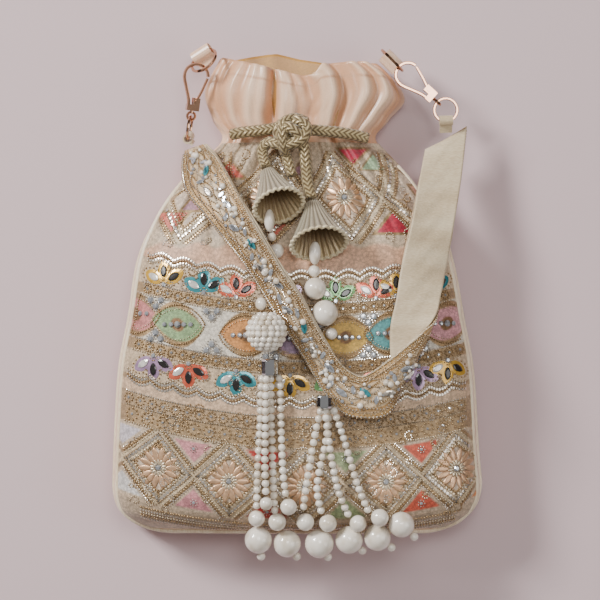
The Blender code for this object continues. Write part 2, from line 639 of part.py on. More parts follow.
def main():
    clear_scene()
    new_collection("potli_bag")
    new_collection("cutters", hidden=True)
    make_pouch()
    make_strap()
    make_drawstring()
    for side in BELLS:
        make_bell(side)
    make_stems()
    for side, strands in STRANDS.items():
        for letter in strands:
            make_strand(side, letter)
        moving = [f"{side}_cap", *(f"{side}_strand_{letter}" for letter in strands)]
        hinge_point(f"{side}_fringe_hinge", FRINGE_HINGES[side], moving)
    make_hardware()
    for side, at in CLASPS.items():
        hinge_point(f"{side}_tab_hinge", at["tab"], [f"{side}_tab_ring"])


main()
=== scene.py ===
"""Potli bag: fine surfaces, beadwork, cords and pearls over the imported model, laid out as an add-on."""

import math

import bpy
import numpy as np
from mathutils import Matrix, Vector


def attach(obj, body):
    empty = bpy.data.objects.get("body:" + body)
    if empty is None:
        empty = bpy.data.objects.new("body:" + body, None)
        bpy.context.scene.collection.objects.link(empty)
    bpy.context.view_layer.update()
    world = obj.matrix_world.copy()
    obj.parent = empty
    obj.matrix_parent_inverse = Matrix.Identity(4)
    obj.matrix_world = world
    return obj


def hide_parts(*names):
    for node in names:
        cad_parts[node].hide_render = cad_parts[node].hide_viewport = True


bl_info = {
    "name": "Potli Bag",
    "version": (1, 0, 0),
    "blender": (4, 5, 0),
    "location": "3D View > Sidebar > Potli",
    "description": "Builds the fabric, beadwork and pearls of a drawstring potli bag",
    "category": "Object",
}

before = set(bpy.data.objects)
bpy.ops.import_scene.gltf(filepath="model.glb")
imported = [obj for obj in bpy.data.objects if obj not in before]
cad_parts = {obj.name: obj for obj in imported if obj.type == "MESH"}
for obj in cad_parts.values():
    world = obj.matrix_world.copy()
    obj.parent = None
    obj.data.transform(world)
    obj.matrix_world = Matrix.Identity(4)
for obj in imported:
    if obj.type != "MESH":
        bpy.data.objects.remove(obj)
MM = 0.001

# Height along the bag, half width, rise above the widest line, squareness of the section, middle.
STATIONS = np.array([
    (-117.0, 62.0, 9.0, 2.6, 0.0), (-115.0, 74.5, 16.0, 2.8, -0.5), (-111.0, 83.5, 24.0, 3.0, -1.0),
    (-105.0, 90.0, 30.0, 3.2, -1.0), (-96.0, 92.6, 33.5, 3.2, -0.5), (-70.0, 91.3, 34.0, 3.2, -1.0),
    (-36.0, 89.3, 34.0, 3.2, -1.0), (-8.0, 84.3, 33.0, 3.1, -1.0), (20.0, 79.3, 30.0, 3.0, -1.5),
    (42.0, 71.0, 26.0, 2.8, -1.0), (60.0, 59.2, 22.0, 2.6, 0.0), (72.0, 48.0, 18.5, 2.4, 1.0),
    (82.0, 40.0, 16.0, 2.2, 1.5), (91.0, 46.5, 17.5, 2.2, 2.0), (104.0, 52.0, 19.0, 2.3, 4.0),
    (112.5, 48.5, 19.0, 2.3, 3.5), (119.0, 41.5, 18.0, 2.3, 1.0)])
# Height of the widest line above the floor, and how far the back's gathers are shifted from the front's.
FLOOR_HALF = 13.0
BACK_PHASE = 2.3


# ---------------------------------------------------------------- geometry helpers

def smooth_table(y, column):
    """A column of STATIONS at height y, as a monotone cubic between the stations."""
    t, v = STATIONS[:, 0], STATIONS[:, column]
    slope = np.diff(v) / np.diff(t)
    inner = np.where(slope[:-1] * slope[1:] > 0,
                     2 * slope[:-1] * slope[1:] / (slope[:-1] + slope[1:] + 1e-9), 0.0)
    tangent = np.concatenate([slope[:1], inner, slope[-1:]])
    y = np.clip(y, t[0], t[-1])
    k = np.clip(np.searchsorted(t, y) - 1, 0, len(t) - 2)
    h = t[k + 1] - t[k]
    s = (y - t[k]) / h
    return ((2 * s ** 3 - 3 * s ** 2 + 1) * v[k] + (s ** 3 - 2 * s ** 2 + s) * h * tangent[k]
            + (3 * s ** 2 - 2 * s ** 3) * v[k + 1] + (s ** 3 - s ** 2) * h * tangent[k + 1])


def front_z(x, y):
    """Height of the stuffed front at (x, y): the widest line plus a dome that is a squared oval across."""
    half, rise, power, middle = (smooth_table(np.asarray(y, float), k) for k in (1, 2, 3, 4))
    across = np.clip(np.abs(np.asarray(x, float) - middle) / half, 0, 0.9995)
    return FLOOR_HALF + rise * (1 - across ** power) ** (1 / power)


def linear_front_z(x, y):
    """The same height with straight lines between the stations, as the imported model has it."""
    half, rise, power, middle = (np.interp(y, STATIONS[:, 0], STATIONS[:, k]) for k in (1, 2, 3, 4))
    across = np.clip(np.abs(np.asarray(x, float) - middle) / half, 0, 0.9995)
    return FLOOR_HALF + rise * (1 - across ** power) ** (1 / power)


def section(y, turn):
    """Point of the bag's closed section at height y and angle turn: a squared oval cut flat at the floor."""
    half, rise, power, middle = (smooth_table(y, k) for k in (1, 2, 3, 4))
    c, s = np.cos(turn), np.sin(turn)
    up = np.where(s > 0, power, 4.0)
    x = np.sign(c) * np.abs(c) ** (2 / up) * half + middle
    low = np.minimum(FLOOR_HALF, rise) * 1.06
    z = FLOOR_HALF + np.where(s > 0, rise, low) * np.sign(s) * np.abs(s) ** (2 / up)
    return x, np.maximum(z, 0.0)


def unit(v):
    """Vectors scaled to length one along the last axis."""
    return v / np.maximum(np.linalg.norm(v, axis=-1, keepdims=True), 1e-12)


def smooth(t):
    """Smooth step from 0 to 1 as t runs from 0 to 1."""
    t = np.clip(t, 0, 1)
    return t * t * (3 - 2 * t)


def spline(points, count):
    """Catmull-Rom curve through the points, resampled to even steps of arc length."""
    p = np.asarray(points, float)
    q = np.vstack([2 * p[0] - p[1], p, 2 * p[-1] - p[-2]])
    t = np.linspace(0, 1, 24, endpoint=False)[:, None]
    fine = [0.5 * (2 * q[i + 1] + (q[i + 2] - q[i]) * t + (2 * q[i] - 5 * q[i + 1] + 4 * q[i + 2] - q[i + 3]) * t ** 2
                   + (3 * q[i + 1] - q[i] - 3 * q[i + 2] + q[i + 3]) * t ** 3) for i in range(len(p) - 1)]
    fine = np.vstack(fine + [p[-1:]])
    run = np.concatenate([[0], np.cumsum(np.linalg.norm(np.diff(fine, axis=0), axis=1))])
    at = np.linspace(0, run[-1], count)
    return np.stack([np.interp(at, run, fine[:, k]) for k in range(fine.shape[1])], axis=1)


def length_of(line):
    """Arc length of a line of points."""
    return float(np.linalg.norm(np.diff(line, axis=0), axis=1).sum())


def grid_faces(rows, columns, wrap=False, offset=0):
    """Quads between neighbouring rows and columns of a grid of points, joined round the columns if wrap."""
    i = np.arange(rows - 1)[:, None]
    j = np.arange(columns if wrap else columns - 1)[None, :]
    k = (j + 1) % columns
    return np.stack([i * columns + j, i * columns + k, (i + 1) * columns + k, (i + 1) * columns + j],
                    axis=-1).reshape(-1, 4) + offset


def noise(x, y, seed=0):
    """Soft random field of a few crossed waves, about -1 to 1."""
    rng = np.random.default_rng(seed)
    total = np.zeros(np.broadcast(x, y).shape)
    for _ in range(7):
        a, f, p = rng.uniform(0, 2 * np.pi), rng.uniform(0.5, 1.6), rng.uniform(0, 2 * np.pi)
        total = total + np.sin((x * np.cos(a) + y * np.sin(a)) * f + p)
    return total / 3.5


def build(name, verts, faces, material, body="bag", uv=None, colour=None, smooth_faces=True):
    """A mesh object at the origin from points in mm and quads or triangles, with its UVs and point colours."""
    verts = np.asarray(verts, float).reshape(-1, 3) * MM
    faces = np.asarray(faces)
    mesh = bpy.data.meshes.new(name)
    mesh.vertices.add(len(verts))
    mesh.vertices.foreach_set("co", verts.astype(np.float32).ravel())
    width = faces.shape[1]
    mesh.loops.add(faces.size)
    mesh.loops.foreach_set("vertex_index", faces.astype(np.int32).ravel())
    mesh.polygons.add(len(faces))
    mesh.polygons.foreach_set("loop_start", np.arange(0, faces.size, width, dtype=np.int32))
    mesh.polygons.foreach_set("use_smooth", np.full(len(faces), smooth_faces))
    if uv is not None:
        layer = mesh.uv_layers.new(name="cloth")
        layer.data.foreach_set("uv", np.asarray(uv, np.float32).reshape(-1, 2)[faces.ravel()].ravel())
    if colour is not None:
        c = np.asarray(colour, np.float32).reshape(len(verts), -1)
        c = np.hstack([c, np.ones((len(verts), 4 - c.shape[1]), np.float32)])
        made = mesh.color_attributes.new("paint", "FLOAT_COLOR", "POINT")
        made.data.foreach_set("color", c.ravel())
    mesh.update(calc_edges=True)
    mesh.validate()
    obj = bpy.data.objects.new(name, mesh)
    bpy.context.scene.collection.objects.link(obj)
    mesh.materials.append(material)
    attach(obj, body)
    return obj


def ring_shape(line, radius, sides):
    """Closed tube about a line: rings of sides points at that radius, with a fan point at each end."""
    line = np.asarray(line, float)
    tangent = unit(np.gradient(line, axis=0))
    side = unit(np.cross(tangent, (0, 0, 1.0)))
    top = np.cross(side, tangent)
    angle = np.linspace(0, 2 * np.pi, sides, endpoint=False)[None, :]
    ring = (line[:, None] + side[:, None] * (np.cos(angle) * radius)[..., None]
            + top[:, None] * (np.sin(angle) * radius)[..., None])
    n = len(line)
    verts = np.vstack([ring.reshape(-1, 3), line[:1], line[-1:]])
    faces = grid_faces(n, sides, wrap=True)
    j = np.arange(sides)
    k = (j + 1) % sides
    first = np.stack([np.full(sides, n * sides), k, j, j], axis=1)
    last = np.stack([np.full(sides, n * sides + 1), (n - 1) * sides + j, (n - 1) * sides + k,
                     (n - 1) * sides + k], axis=1)
    return verts, np.vstack([faces, first, last])


def triangles(faces):
    """Quads cut to triangles, dropping the empty halves of the folded ones."""
    two = np.vstack([faces[:, [0, 1, 2]], faces[:, [0, 2, 3]]])
    good = (two[:, 0] != two[:, 1]) & (two[:, 1] != two[:, 2]) & (two[:, 0] != two[:, 2])
    return two[good]


def bead_shape(kind):
    """A small closed shape of unit radius: points and triangles. Z is outwards from the cloth, X along the row."""
    if kind in ("pearl", "seed"):
        around, rings = {"pearl": (12, 7), "seed": (6, 3)}[kind]
        lat = np.linspace(-np.pi / 2, np.pi / 2, rings + 1)[1:-1]
        lon = np.linspace(0, 2 * np.pi, around, endpoint=False)
        v = np.stack([np.cos(lat)[:, None] * np.cos(lon), np.cos(lat)[:, None] * np.sin(lon),
                      np.repeat(np.sin(lat)[:, None], around, axis=1)], axis=-1).reshape(-1, 3)
        n = len(v)
        v = np.vstack([v, [[0, 0, -1], [0, 0, 1]]])
        f = triangles(grid_faces(rings - 1, around, wrap=True))
        j = np.arange(around)
        k = (j + 1) % around
        low = np.stack([np.full(around, n), k, j], axis=1)
        high = np.stack([np.full(around, n + 1), n - around + j, n - around + k], axis=1)
        return v, np.vstack([f, low, high])
    if kind == "marquise":
        t = np.linspace(0, 2 * np.pi, 12, endpoint=False)
        x, y = np.cos(t), np.sign(np.sin(t)) * np.abs(np.sin(t)) ** 1.35 * 0.46
        rim = [np.stack([x * s, y * s, np.full(12, z)], axis=1) for s, z in ((1.0, -0.1), (1.0, 0.12), (0.66, 0.34))]
    else:
        sides = 8
        t = np.linspace(0, 2 * np.pi, sides, endpoint=False)
        heights = {"stone": ((1.0, -0.2), (1.0, 0.15), (0.6, 0.6)),
                   "sequin": ((1.0, -0.06), (1.0, 0.06), (0.5, 0.12))}[kind]
        rim = [np.stack([np.cos(t) * s, np.sin(t) * s, np.full(sides, z)], axis=1) for s, z in heights]
    v = np.vstack(rim)
    sides = len(rim[0])
    f = triangles(grid_faces(3, sides, wrap=True))
    v = np.vstack([v, [[0, 0, rim[0][0, 2]], [0, 0, rim[2][0, 2] + 0.02]]])
    j = np.arange(sides)
    k = (j + 1) % sides
    low = np.stack([np.full(sides, 3 * sides), k, j], axis=1)
    high = np.stack([np.full(sides, 3 * sides + 1), 2 * sides + j, 2 * sides + k], axis=1)
    return v, np.vstack([f, low, high])


def scatter(kind, places, along, out, size):
    """Copies of a bead shape: each turned so X follows along and Z follows out, and scaled by size (3 numbers)."""
    shape, faces = bead_shape(kind)
    places = np.asarray(places, float)
    z = unit(np.broadcast_to(out, places.shape).astype(float))
    x = np.broadcast_to(along, places.shape).astype(float)
    x = unit(x - z * (x * z).sum(1, keepdims=True))
    y = np.cross(z, x)
    size = np.broadcast_to(np.asarray(size, float), places.shape)
    local = shape[None] * size[:, None]
    verts = places[:, None] + local[..., :1] * x[:, None] + local[..., 1:2] * y[:, None] + local[..., 2:] * z[:, None]
    all_faces = faces[None] + (np.arange(len(places)) * len(shape))[:, None, None]
    return verts.reshape(-1, 3), all_faces.reshape(-1, 3)


# ---------------------------------------------------------------- routes of the loose pieces

# Strap: right edge, middle and left edge of its face at stations along it, as (x, y, lift above the bag).
STRAP = [
    ((-46.6, 78.4, 25.0), (-51.8, 76.6, 18.8), (-56.6, 75.0, 13.5)),
    ((-40.5, 72.0, 3.0), (-49.0, 69.0, 4.0), (-57.5, 65.0, 23.0)),
    ((-35.0, 63.0, 4.5), (-45.0, 58.0, 3.0), (-55.0, 53.0, 4.0)),
    ((-29.0, 52.0, 7.0), (-37.0, 47.5, 4.5), (-46.0, 42.0, 2.5)),
    ((-22.5, 40.7, 12.5), (-29.0, 36.5, 7.2), (-36.5, 31.0, 2.5)),
    ((-14.5, 27.0, 13.5), (-20.0, 22.5, 8.2), (-25.5, 18.0, 2.5)),
    ((-7.0, 14.5, 13.5), (-12.0, 10.5, 8.5), (-17.5, 5.5, 3.0)),
    ((1.0, 3.0, 12.0), (-4.0, -2.0, 8.0), (-9.5, -8.0, 3.0)),
    ((8.0, -10.0, 9.0), (3.0, -14.5, 6.0), (-2.0, -20.0, 3.0)),
    ((15.0, -22.0, 6.0), (11.0, -27.5, 4.0), (6.0, -33.5, 2.5)),
    ((22.0, -32.0, 3.5), (18.0, -39.5, 3.0), (14.0, -46.5, 2.5)),
    ((30.0, -37.0, 3.0), (28.0, -47.0, 3.0), (24.0, -56.5, 2.5)),
    ((36.0, -35.5, 3.5), (39.0, -46.0, 4.5), (42.0, -57.0, 3.5)),
    ((43.0, -30.5, 6.5), (46.5, -41.0, 7.0), (48.0, -47.5, 1.8)),
    ((52.0, -23.0, 8.5), (55.5, -31.0, 7.0), (48.0, -38.0, 0.8)),
    ((60.5, -15.5, 9.5), (62.0, -19.0, 6.0), (45.5, -27.5, 0.6)),
    ((67.5, -9.0, 8.0), (60.0, -11.5, 4.0), (45.5, -13.0, 1.0)),
    ((70.2, 1.0, 5.0), (59.0, -1.0, 3.0), (48.5, 1.0, 2.0)),
    ((73.5, 18.0, 4.0), (62.0, 15.5, 2.5), (51.0, 16.5, 2.0)),
    ((78.0, 40.0, 33.0), (66.5, 39.0, 5.0), (56.0, 38.0, 3.0)),
    ((82.0, 62.0, 25.0), (71.0, 61.0, 26.5), (60.5, 59.5, 29.0)),
    ((85.3, 88.0, 18.5), (75.0, 81.8, 19.2), (64.5, 76.0, 19.5)),
]
CORD_LIFT = 5.3
DRAWSTRING = {
    "drawstring_left_run": [(-33.8, 82.6, 7.2), (-31.4, 83.1, 6.4), (-27.5, 83.8, CORD_LIFT + 0.5),
                            (-22.0, 84.3, CORD_LIFT), (-16.2, 84.2, CORD_LIFT)],
    "drawstring_right_run": [(35.4, 80.6, 7.2), (33.0, 81.2, 6.4), (29.0, 82.2, CORD_LIFT + 0.5),
                             (20.0, 83.6, CORD_LIFT), (9.0, 84.8, CORD_LIFT)],
    "drawstring_left_tail": [(-16.4, 78.6, CORD_LIFT), (-17.6, 75.0, CORD_LIFT), (-17.2, 70.5, CORD_LIFT + 0.4),
                             (-15.7, 66.0, CORD_LIFT + 2.6)],
    "drawstring_right_tail": [(3.2, 72.6, CORD_LIFT + 0.2), (4.0, 66.0, CORD_LIFT), (4.8, 58.0, CORD_LIFT + 0.4),
                              (6.9, 50.2, CORD_LIFT + 2.6)],
    "drawstring_bow": [(-6.0, 72.4, CORD_LIFT), (-4.8, 68.0, CORD_LIFT - 0.3), (-2.8, 61.5, CORD_LIFT - 0.3)],
}
BELLS = {
    "left": ((-15.0, 63.5, 9.0), (-9.3, 46.0, 15.5), 12.8, 0.62),
    "right": ((7.3, 47.6, 8.5), (10.4, 27.5, 15.2), 14.1, 0.55),
}
# Beads on each stem, top to bottom: name, x, y, radii across and along, height of the centre above the bag.
STEMS = {
    "left": [("oval", -14.0, 39.0, 2.6, 5.6, 10.8), ("small", -12.8, 31.0, 2.2, 2.2, 8.6),
             ("medium", -10.6, 24.2, 3.7, 3.7, 6.2), ("pear", -18.2, -1.9, 2.7, 3.2, 9.4)],
    "right": [("oval", 8.3, 23.0, 2.9, 5.8, 10.6), ("small", 8.0, 14.2, 2.9, 2.9, 8.4),
              ("medium", 8.5, 5.6, 5.5, 5.5, 7.6), ("large", 13.2, -6.4, 6.4, 6.4, 8.4),
              ("end", 16.4, -16.6, 3.0, 3.0, 5.0)],
}
SEED_BALL = (-15.3, -15.4, 10.5, 14.6)
CAPS = {"left": (-13.8, -33.0, 4.4, 4.2, 7.4), "right": (12.8, -49.8, 3.9, 3.4, 11.0)}
# Strands: x, y and height above the bag at points from the cap down, then the pearls as (x, y, z, radius).
STRANDS = {
    "left": {
        "a": ([(-17.9, -40.0, 5.6), (-18.6, -60.0, 4.2), (-19.8, -84.0, 4.9), (-20.3, -101.0, 5.0)],
              [(-20.4, -107.6, 48.0, 4.1), (-19.6, -118.8, 41.5, 6.8), (-18.3, -127.2, 38.5, 2.1)]),
        "b": ([(-13.4, -40.0, 5.6), (-13.0, -62.0, 4.2), (-12.4, -84.0, 5.2), (-11.5, -103.0, 5.4)],
              [(-10.2, -109.4, 47.6, 4.4), (-5.4, -120.6, 41.5, 6.8), (-0.6, -127.3, 38.5, 2.1)]),
        "c": ([(-8.9, -40.0, 5.6), (-8.3, -62.0, 4.2), (-7.4, -84.0, 4.9), (-6.0, -95.5, 4.9)],
              [(-4.6, -101.6, 51.8, 4.1)]),
        "d": ([(-15.6, -40.0, 9.8), (-16.0, -60.0, 8.4), (-16.2, -80.0, 8.4), (-15.8, -94.0, 8.0)],
              [(-15.6, -99.8, 54.0, 3.2)]),
    },
    "right": {
        "e": ([(11.0, -55.0, 5.4), (8.4, -66.0, 4.2), (4.6, -88.0, 5.0), (2.8, -101.5, 5.2)],
              [(3.6, -109.4, 47.4, 4.4), (10.6, -120.6, 41.5, 7.2), (14.8, -127.6, 38.0, 2.1)]),
        "f": ([(15.6, -55.0, 5.4), (13.6, -70.0, 4.2), (9.4, -91.0, 5.0), (11.4, -104.0, 5.2)],
              [(14.8, -110.0, 47.4, 4.4), (25.3, -118.8, 41.5, 6.9), (32.0, -124.4, 38.0, 2.1)]),
        "g": ([(13.4, -55.0, 9.8), (16.0, -75.0, 8.8), (19.6, -93.0, 5.4), (24.6, -105.4, 5.2)],
              [(29.6, -110.2, 47.0, 4.2), (39.3, -117.6, 42.0, 6.7), (46.4, -122.8, 38.5, 2.1)]),
        "h": ([(18.0, -55.0, 9.2), (23.0, -70.0, 4.6), (29.0, -90.0, 5.0), (34.2, -103.0, 5.4)],
              [(40.2, -107.0, 50.4, 4.4), (51.0, -110.8, 46.6, 6.4), (57.4, -117.0, 43.6, 2.1)]),
    },
}


# ---------------------------------------------------------------- materials

def srgb(code):
    """A hex colour as linear RGBA."""
    value = np.array([int(code[i:i + 2], 16) / 255 for i in (1, 3, 5)])
    linear = np.where(value <= 0.04045, value / 12.92, ((value + 0.055) / 1.055) ** 2.4)
    return (*[float(c) for c in linear], 1.0)


def node(tree, kind, inputs=(), **settings):
    """Add a node, set its properties, and set or link its inputs from pairs of (socket, value or output)."""
    made = tree.nodes.new(kind)
    for key, value in settings.items():
        setattr(made, key, value)
    for key, value in dict(inputs).items():
        if isinstance(value, bpy.types.NodeSocket):
            tree.links.new(value, made.inputs[key])
        else:
            made.inputs[key].default_value = value
    return made


def new_material(name, roughness=0.5, metallic=0.0, sheen=0.0, coat=0.0):
    """An empty Principled material with its constants set: returns it, its tree and its shader."""
    made = bpy.data.materials.new(name)
    made.use_nodes = True
    tree = made.node_tree
    shader = tree.nodes["Principled BSDF"]
    shader.inputs["Roughness"].default_value = roughness
    shader.inputs["Metallic"].default_value = metallic
    shader.inputs["Sheen Weight"].default_value = sheen
    shader.inputs["Coat Weight"].default_value = coat
    return made, tree, shader


def ramp(tree, factor, stops):
    """Colour ramp through (position, hex) stops."""
    made = node(tree, "ShaderNodeValToRGB", {"Fac": factor})
    items = made.color_ramp.elements
    while len(items) < len(stops):
        items.new(0.5)
    for item, (at, code) in zip(items, stops):
        item.position = at
        item.color = srgb(code)
    return made.outputs["Color"]


def bump(tree, shader, height, strength, distance):
    """Height in 0..1 to the shader's normal, over a real distance in mm."""
    made = node(tree, "ShaderNodeBump", {"Height": height, "Strength": strength, "Distance": distance * MM})
    tree.links.new(made.outputs["Normal"], shader.inputs["Normal"])


def cloth_material(name, stops, roughness, weave_mm, stretch, sheen=0.3, slub=0.0, strength=0.35):
    """Woven cloth: fine crossed threads at weave_mm in the bump, long slubs and soft blotches in the colour."""
    made, tree, shader = new_material(name, roughness, sheen=sheen)
    at = node(tree, "ShaderNodeTexCoord").outputs["Object"]
    fine = node(tree, "ShaderNodeMapping", {"Vector": at, "Scale": tuple(s / (weave_mm * MM) for s in stretch)})
    threads = node(tree, "ShaderNodeTexNoise", {"Vector": fine.outputs["Vector"], "Scale": 1.0, "Detail": 2.0})
    wide = node(tree, "ShaderNodeMapping", {"Vector": at, "Scale": tuple(s / (14 * MM) for s in stretch)})
    blotch = node(tree, "ShaderNodeTexNoise", {"Vector": wide.outputs["Vector"], "Scale": 1.0, "Detail": 3.0})
    mixed = node(tree, "ShaderNodeMath", {0: blotch.outputs["Fac"], 1: threads.outputs["Fac"]}, operation="ADD")
    half = node(tree, "ShaderNodeMath", {0: mixed.outputs[0], 1: 0.5 + slub * 0.1}, operation="MULTIPLY")
    tree.links.new(ramp(tree, half.outputs[0], stops), shader.inputs["Base Color"])
    bump(tree, shader, threads.outputs["Fac"], strength, 0.08)
    return made


# Spacing of the knots of stitches, in mm.
KNOT = 1.7


def painted_material(name, roughness, weave_mm=0.5, strength=0.5, sheen=0.2, shades=(0.72, 1.18), knot_gap_shade=0.0):
    """Thread work whose colour is the surface's own paint attribute, with stitches in the bump.
    The attribute's alpha is the share of metal thread. The last argument darkens the gaps between knots of stitches as
    painted shade."""
    made, tree, shader = new_material(name, roughness, sheen=sheen)
    paint = node(tree, "ShaderNodeAttribute", attribute_name="paint")
    at = node(tree, "ShaderNodeTexCoord").outputs["Object"]
    fine = node(tree, "ShaderNodeMapping", {"Vector": at, "Scale": (1 / (weave_mm * MM),) * 3})
    cells = node(tree, "ShaderNodeTexNoise", {"Vector": fine.outputs["Vector"], "Scale": 1.0, "Detail": 2.0})
    shade = node(tree, "ShaderNodeMapRange", {"Value": cells.outputs["Fac"], "From Min": 0.3, "From Max": 0.7,
                                              "To Min": shades[0], "To Max": shades[1]})
    # Painted shade: a cell pattern darkens the gaps between knots of stitches, standing in for shade between the raised
    # knots.
    knots = node(tree, "ShaderNodeTexVoronoi", {"Vector": at, "Scale": 1 / (KNOT * MM)})
    gap_shade = node(tree, "ShaderNodeMapRange", {"Value": knots.outputs["Distance"], "From Min": 0.25, "From Max": 0.75,
                                             "To Min": 1.0, "To Max": 1.0 - knot_gap_shade})
    dense = node(tree, "ShaderNodeMath", {0: shade.outputs["Result"], 1: gap_shade.outputs["Result"]}, operation="MULTIPLY")
    colour = node(tree, "ShaderNodeVectorMath", {0: paint.outputs["Color"], 1: dense.outputs[0]}, operation="MULTIPLY")
    tree.links.new(colour.outputs["Vector"], shader.inputs["Base Color"])
    metal = node(tree, "ShaderNodeMath", {0: paint.outputs["Alpha"], 1: 0.65}, operation="MULTIPLY")
    tree.links.new(metal.outputs[0], shader.inputs["Metallic"])
    bump(tree, shader, cells.outputs["Fac"], strength, 0.25)
    return made


def metal_material(name, code, roughness):
    """Polished metal with a faint cast of uneven wear in its roughness."""
    made, tree, shader = new_material(name, roughness, 1.0)
    shader.inputs["Base Color"].default_value = srgb(code)
    at = node(tree, "ShaderNodeTexCoord").outputs["Object"]
    wear = node(tree, "ShaderNodeTexNoise", {"Vector": at, "Scale": 180.0, "Detail": 3.0})
    rough = node(tree, "ShaderNodeMapRange", {"Value": wear.outputs["Fac"], "From Min": 0.3, "From Max": 0.7,
                                              "To Min": roughness * 0.7, "To Max": roughness * 1.5})
    tree.links.new(rough.outputs["Result"], shader.inputs["Roughness"])
    return made


def bead_material(name, code, roughness, metallic=0.0, coat=0.0):
    """Small beads in one colour, a little lighter and darker from bead to bead by their place."""
    made, tree, shader = new_material(name, roughness, metallic, 0.0, coat)
    at = node(tree, "ShaderNodeTexCoord").outputs["Object"]
    near = node(tree, "ShaderNodeTexNoise", {"Vector": at, "Scale": 420.0, "Detail": 1.0})
    shade = node(tree, "ShaderNodeMapRange", {"Value": near.outputs["Fac"], "From Min": 0.3, "From Max": 0.7,
                                              "To Min": 0.78, "To Max": 1.15})
    colour = node(tree, "ShaderNodeVectorMath", {0: srgb(code)[:3], 1: shade.outputs["Result"]}, operation="MULTIPLY")
    tree.links.new(colour.outputs["Vector"], shader.inputs["Base Color"])
    return made


def pearl_material(name, code="#e9dfd0"):
    """Pearl: a pale body under a clear coat, with a faint warm and cool drift."""
    made, tree, shader = new_material(name, 0.3, 0.0, 0.0, 1.0)
    shader.inputs["Coat Roughness"].default_value = 0.04
    at = node(tree, "ShaderNodeTexCoord").outputs["Object"]
    drift = node(tree, "ShaderNodeTexNoise", {"Vector": at, "Scale": 160.0, "Detail": 1.0})
    tree.links.new(ramp(tree, drift.outputs["Fac"], ((0.3, "#d3c5b0"), (0.5, code), (0.7, "#efe7da"))),
                   shader.inputs["Base Color"])
    return made


def cord_material(name):
    """Knitted metallic cord: slanting plaits that meet in a V, from the tube's own UV (around, along in turns), with
    painted shade in the grooves between plaits.
    """
    made, tree, shader = new_material(name, 0.42, 0.35, 0.2)
    uv = node(tree, "ShaderNodeUVMap", uv_map="cloth")
    parts = node(tree, "ShaderNodeSeparateXYZ", {"Vector": uv.outputs["UV"]})
    fold = node(tree, "ShaderNodeMath", {0: parts.outputs["X"], 1: 0.125}, operation="PINGPONG")
    slope = node(tree, "ShaderNodeMath", {0: fold.outputs[0], 1: 8.0}, operation="MULTIPLY")
    both = node(tree, "ShaderNodeMath", {0: parts.outputs["Y"], 1: slope.outputs[0]}, operation="ADD")
    wave = node(tree, "ShaderNodeMath", {0: both.outputs[0], 1: 0.5}, operation="PINGPONG")
    lift = node(tree, "ShaderNodeMath", {0: wave.outputs[0], 1: 2.0}, operation="MULTIPLY")
    # Painted shade: the plaits run from dark brown in their grooves to pale gold on their crests, following the bump's
    # height.
    tree.links.new(ramp(tree, lift.outputs[0], ((0.05, "#5d4a2e"), (0.45, "#94805a"), (0.95, "#c4b185"))),
                   shader.inputs["Base Color"])
    bump(tree, shader, lift.outputs[0], 0.8, 0.6)
    return made


MATERIALS = {}


def materials():
    """All the looks of the bag, made once."""
    if MATERIALS:
        return MATERIALS
    m = MATERIALS
    flat = (1.0, 0.22, 1.0)
    m["satin"] = painted_material("peach satin", 0.3, 0.7, strength=0.06, sheen=0.05, shades=(0.94, 1.06))
    m["lining"] = painted_material("gold lining satin", 0.33, 0.7, strength=0.08, sheen=0.15, shades=(0.88, 1.08))
    m["piping"] = cloth_material("cream satin piping", ((0.3, "#d2b795"), (0.5, "#e8d3b4"), (0.7, "#f4e6cf")),
                                 0.38, 0.7, flat, 0.3, strength=0.25)
    m["dupion"] = cloth_material("slub dupion", ((0.3, "#a89272"), (0.5, "#c2ad8b"), (0.72, "#dac9a9")),
                                 0.5, 0.5, (0.25, 1.6, 1.0), 0.3, slub=0.4, strength=0.5)
    m["front"] = painted_material("embroidered cloth", 0.5, 0.55, shades=(0.66, 1.2), knot_gap_shade=0.36)
    m["strap"] = painted_material("embroidered strap cloth", 0.5, 0.5, knot_gap_shade=0.3)
    m["bell"] = painted_material("pleated tissue", 0.36, 0.45, strength=0.3)
    m["bell_rim"] = cloth_material("tissue rim", ((0.3, "#b7a47c"), (0.5, "#d3c4a0"), (0.72, "#e8dcbc")),
                                   0.4, 0.5, (1.0, 1.0, 1.0), 0.3, strength=0.3)
    m["cord"] = cord_material("knitted metallic cord")
    m["pearl"] = pearl_material("pearl")
    m["chrome"] = metal_material("bright chrome", "#c9ccd0", 0.07)
    m["tab_satin"] = cloth_material("tab satin", ((0.3, "#d9a988"), (0.5, "#e8c2a3"), (0.7, "#f2d6bd")),
                                    0.3, 0.6, flat, 0.2, strength=0.15)
    m["rose_gold"] = metal_material("rose gold", "#d0a487", 0.13)
    m["gold"] = bead_material("gold zari bead", "#ab8f6a", 0.3, 0.75)
    m["pale_gold"] = bead_material("pale gold bead", "#cdbb9f", 0.3, 0.65)
    m["copper"] = bead_material("copper bead", "#cfa783", 0.33, 0.55)
    m["silver"] = bead_material("silver sequin", "#d3c9bc", 0.22, 0.75)
    m["crystal"] = bead_material("crystal", "#b9bcc0", 0.10, 0.6, 0.5)
    # The last two are the trefoils' mirrors painted as a dark and a bright reflection; the others are the colours of
    # petals and inlays.
    for name, code in (("teal", "#3f8d95"), ("mauve", "#a98aa8"), ("coral", "#d4644a"), ("yellow", "#d3a542"),
                       ("orange", "#d9863a"), ("green", "#6f9f63"), ("rose", "#cf7f86"), ("pink", "#d795a0"),
                       ("dark_reflection", "#2b2826"), ("bright_reflection", "#ded8d0")):
        m[name] = bead_material(f"{name} mirror", code, 0.2, 0.35, 0.4)
    return m


# ---------------------------------------------------------------- pouch

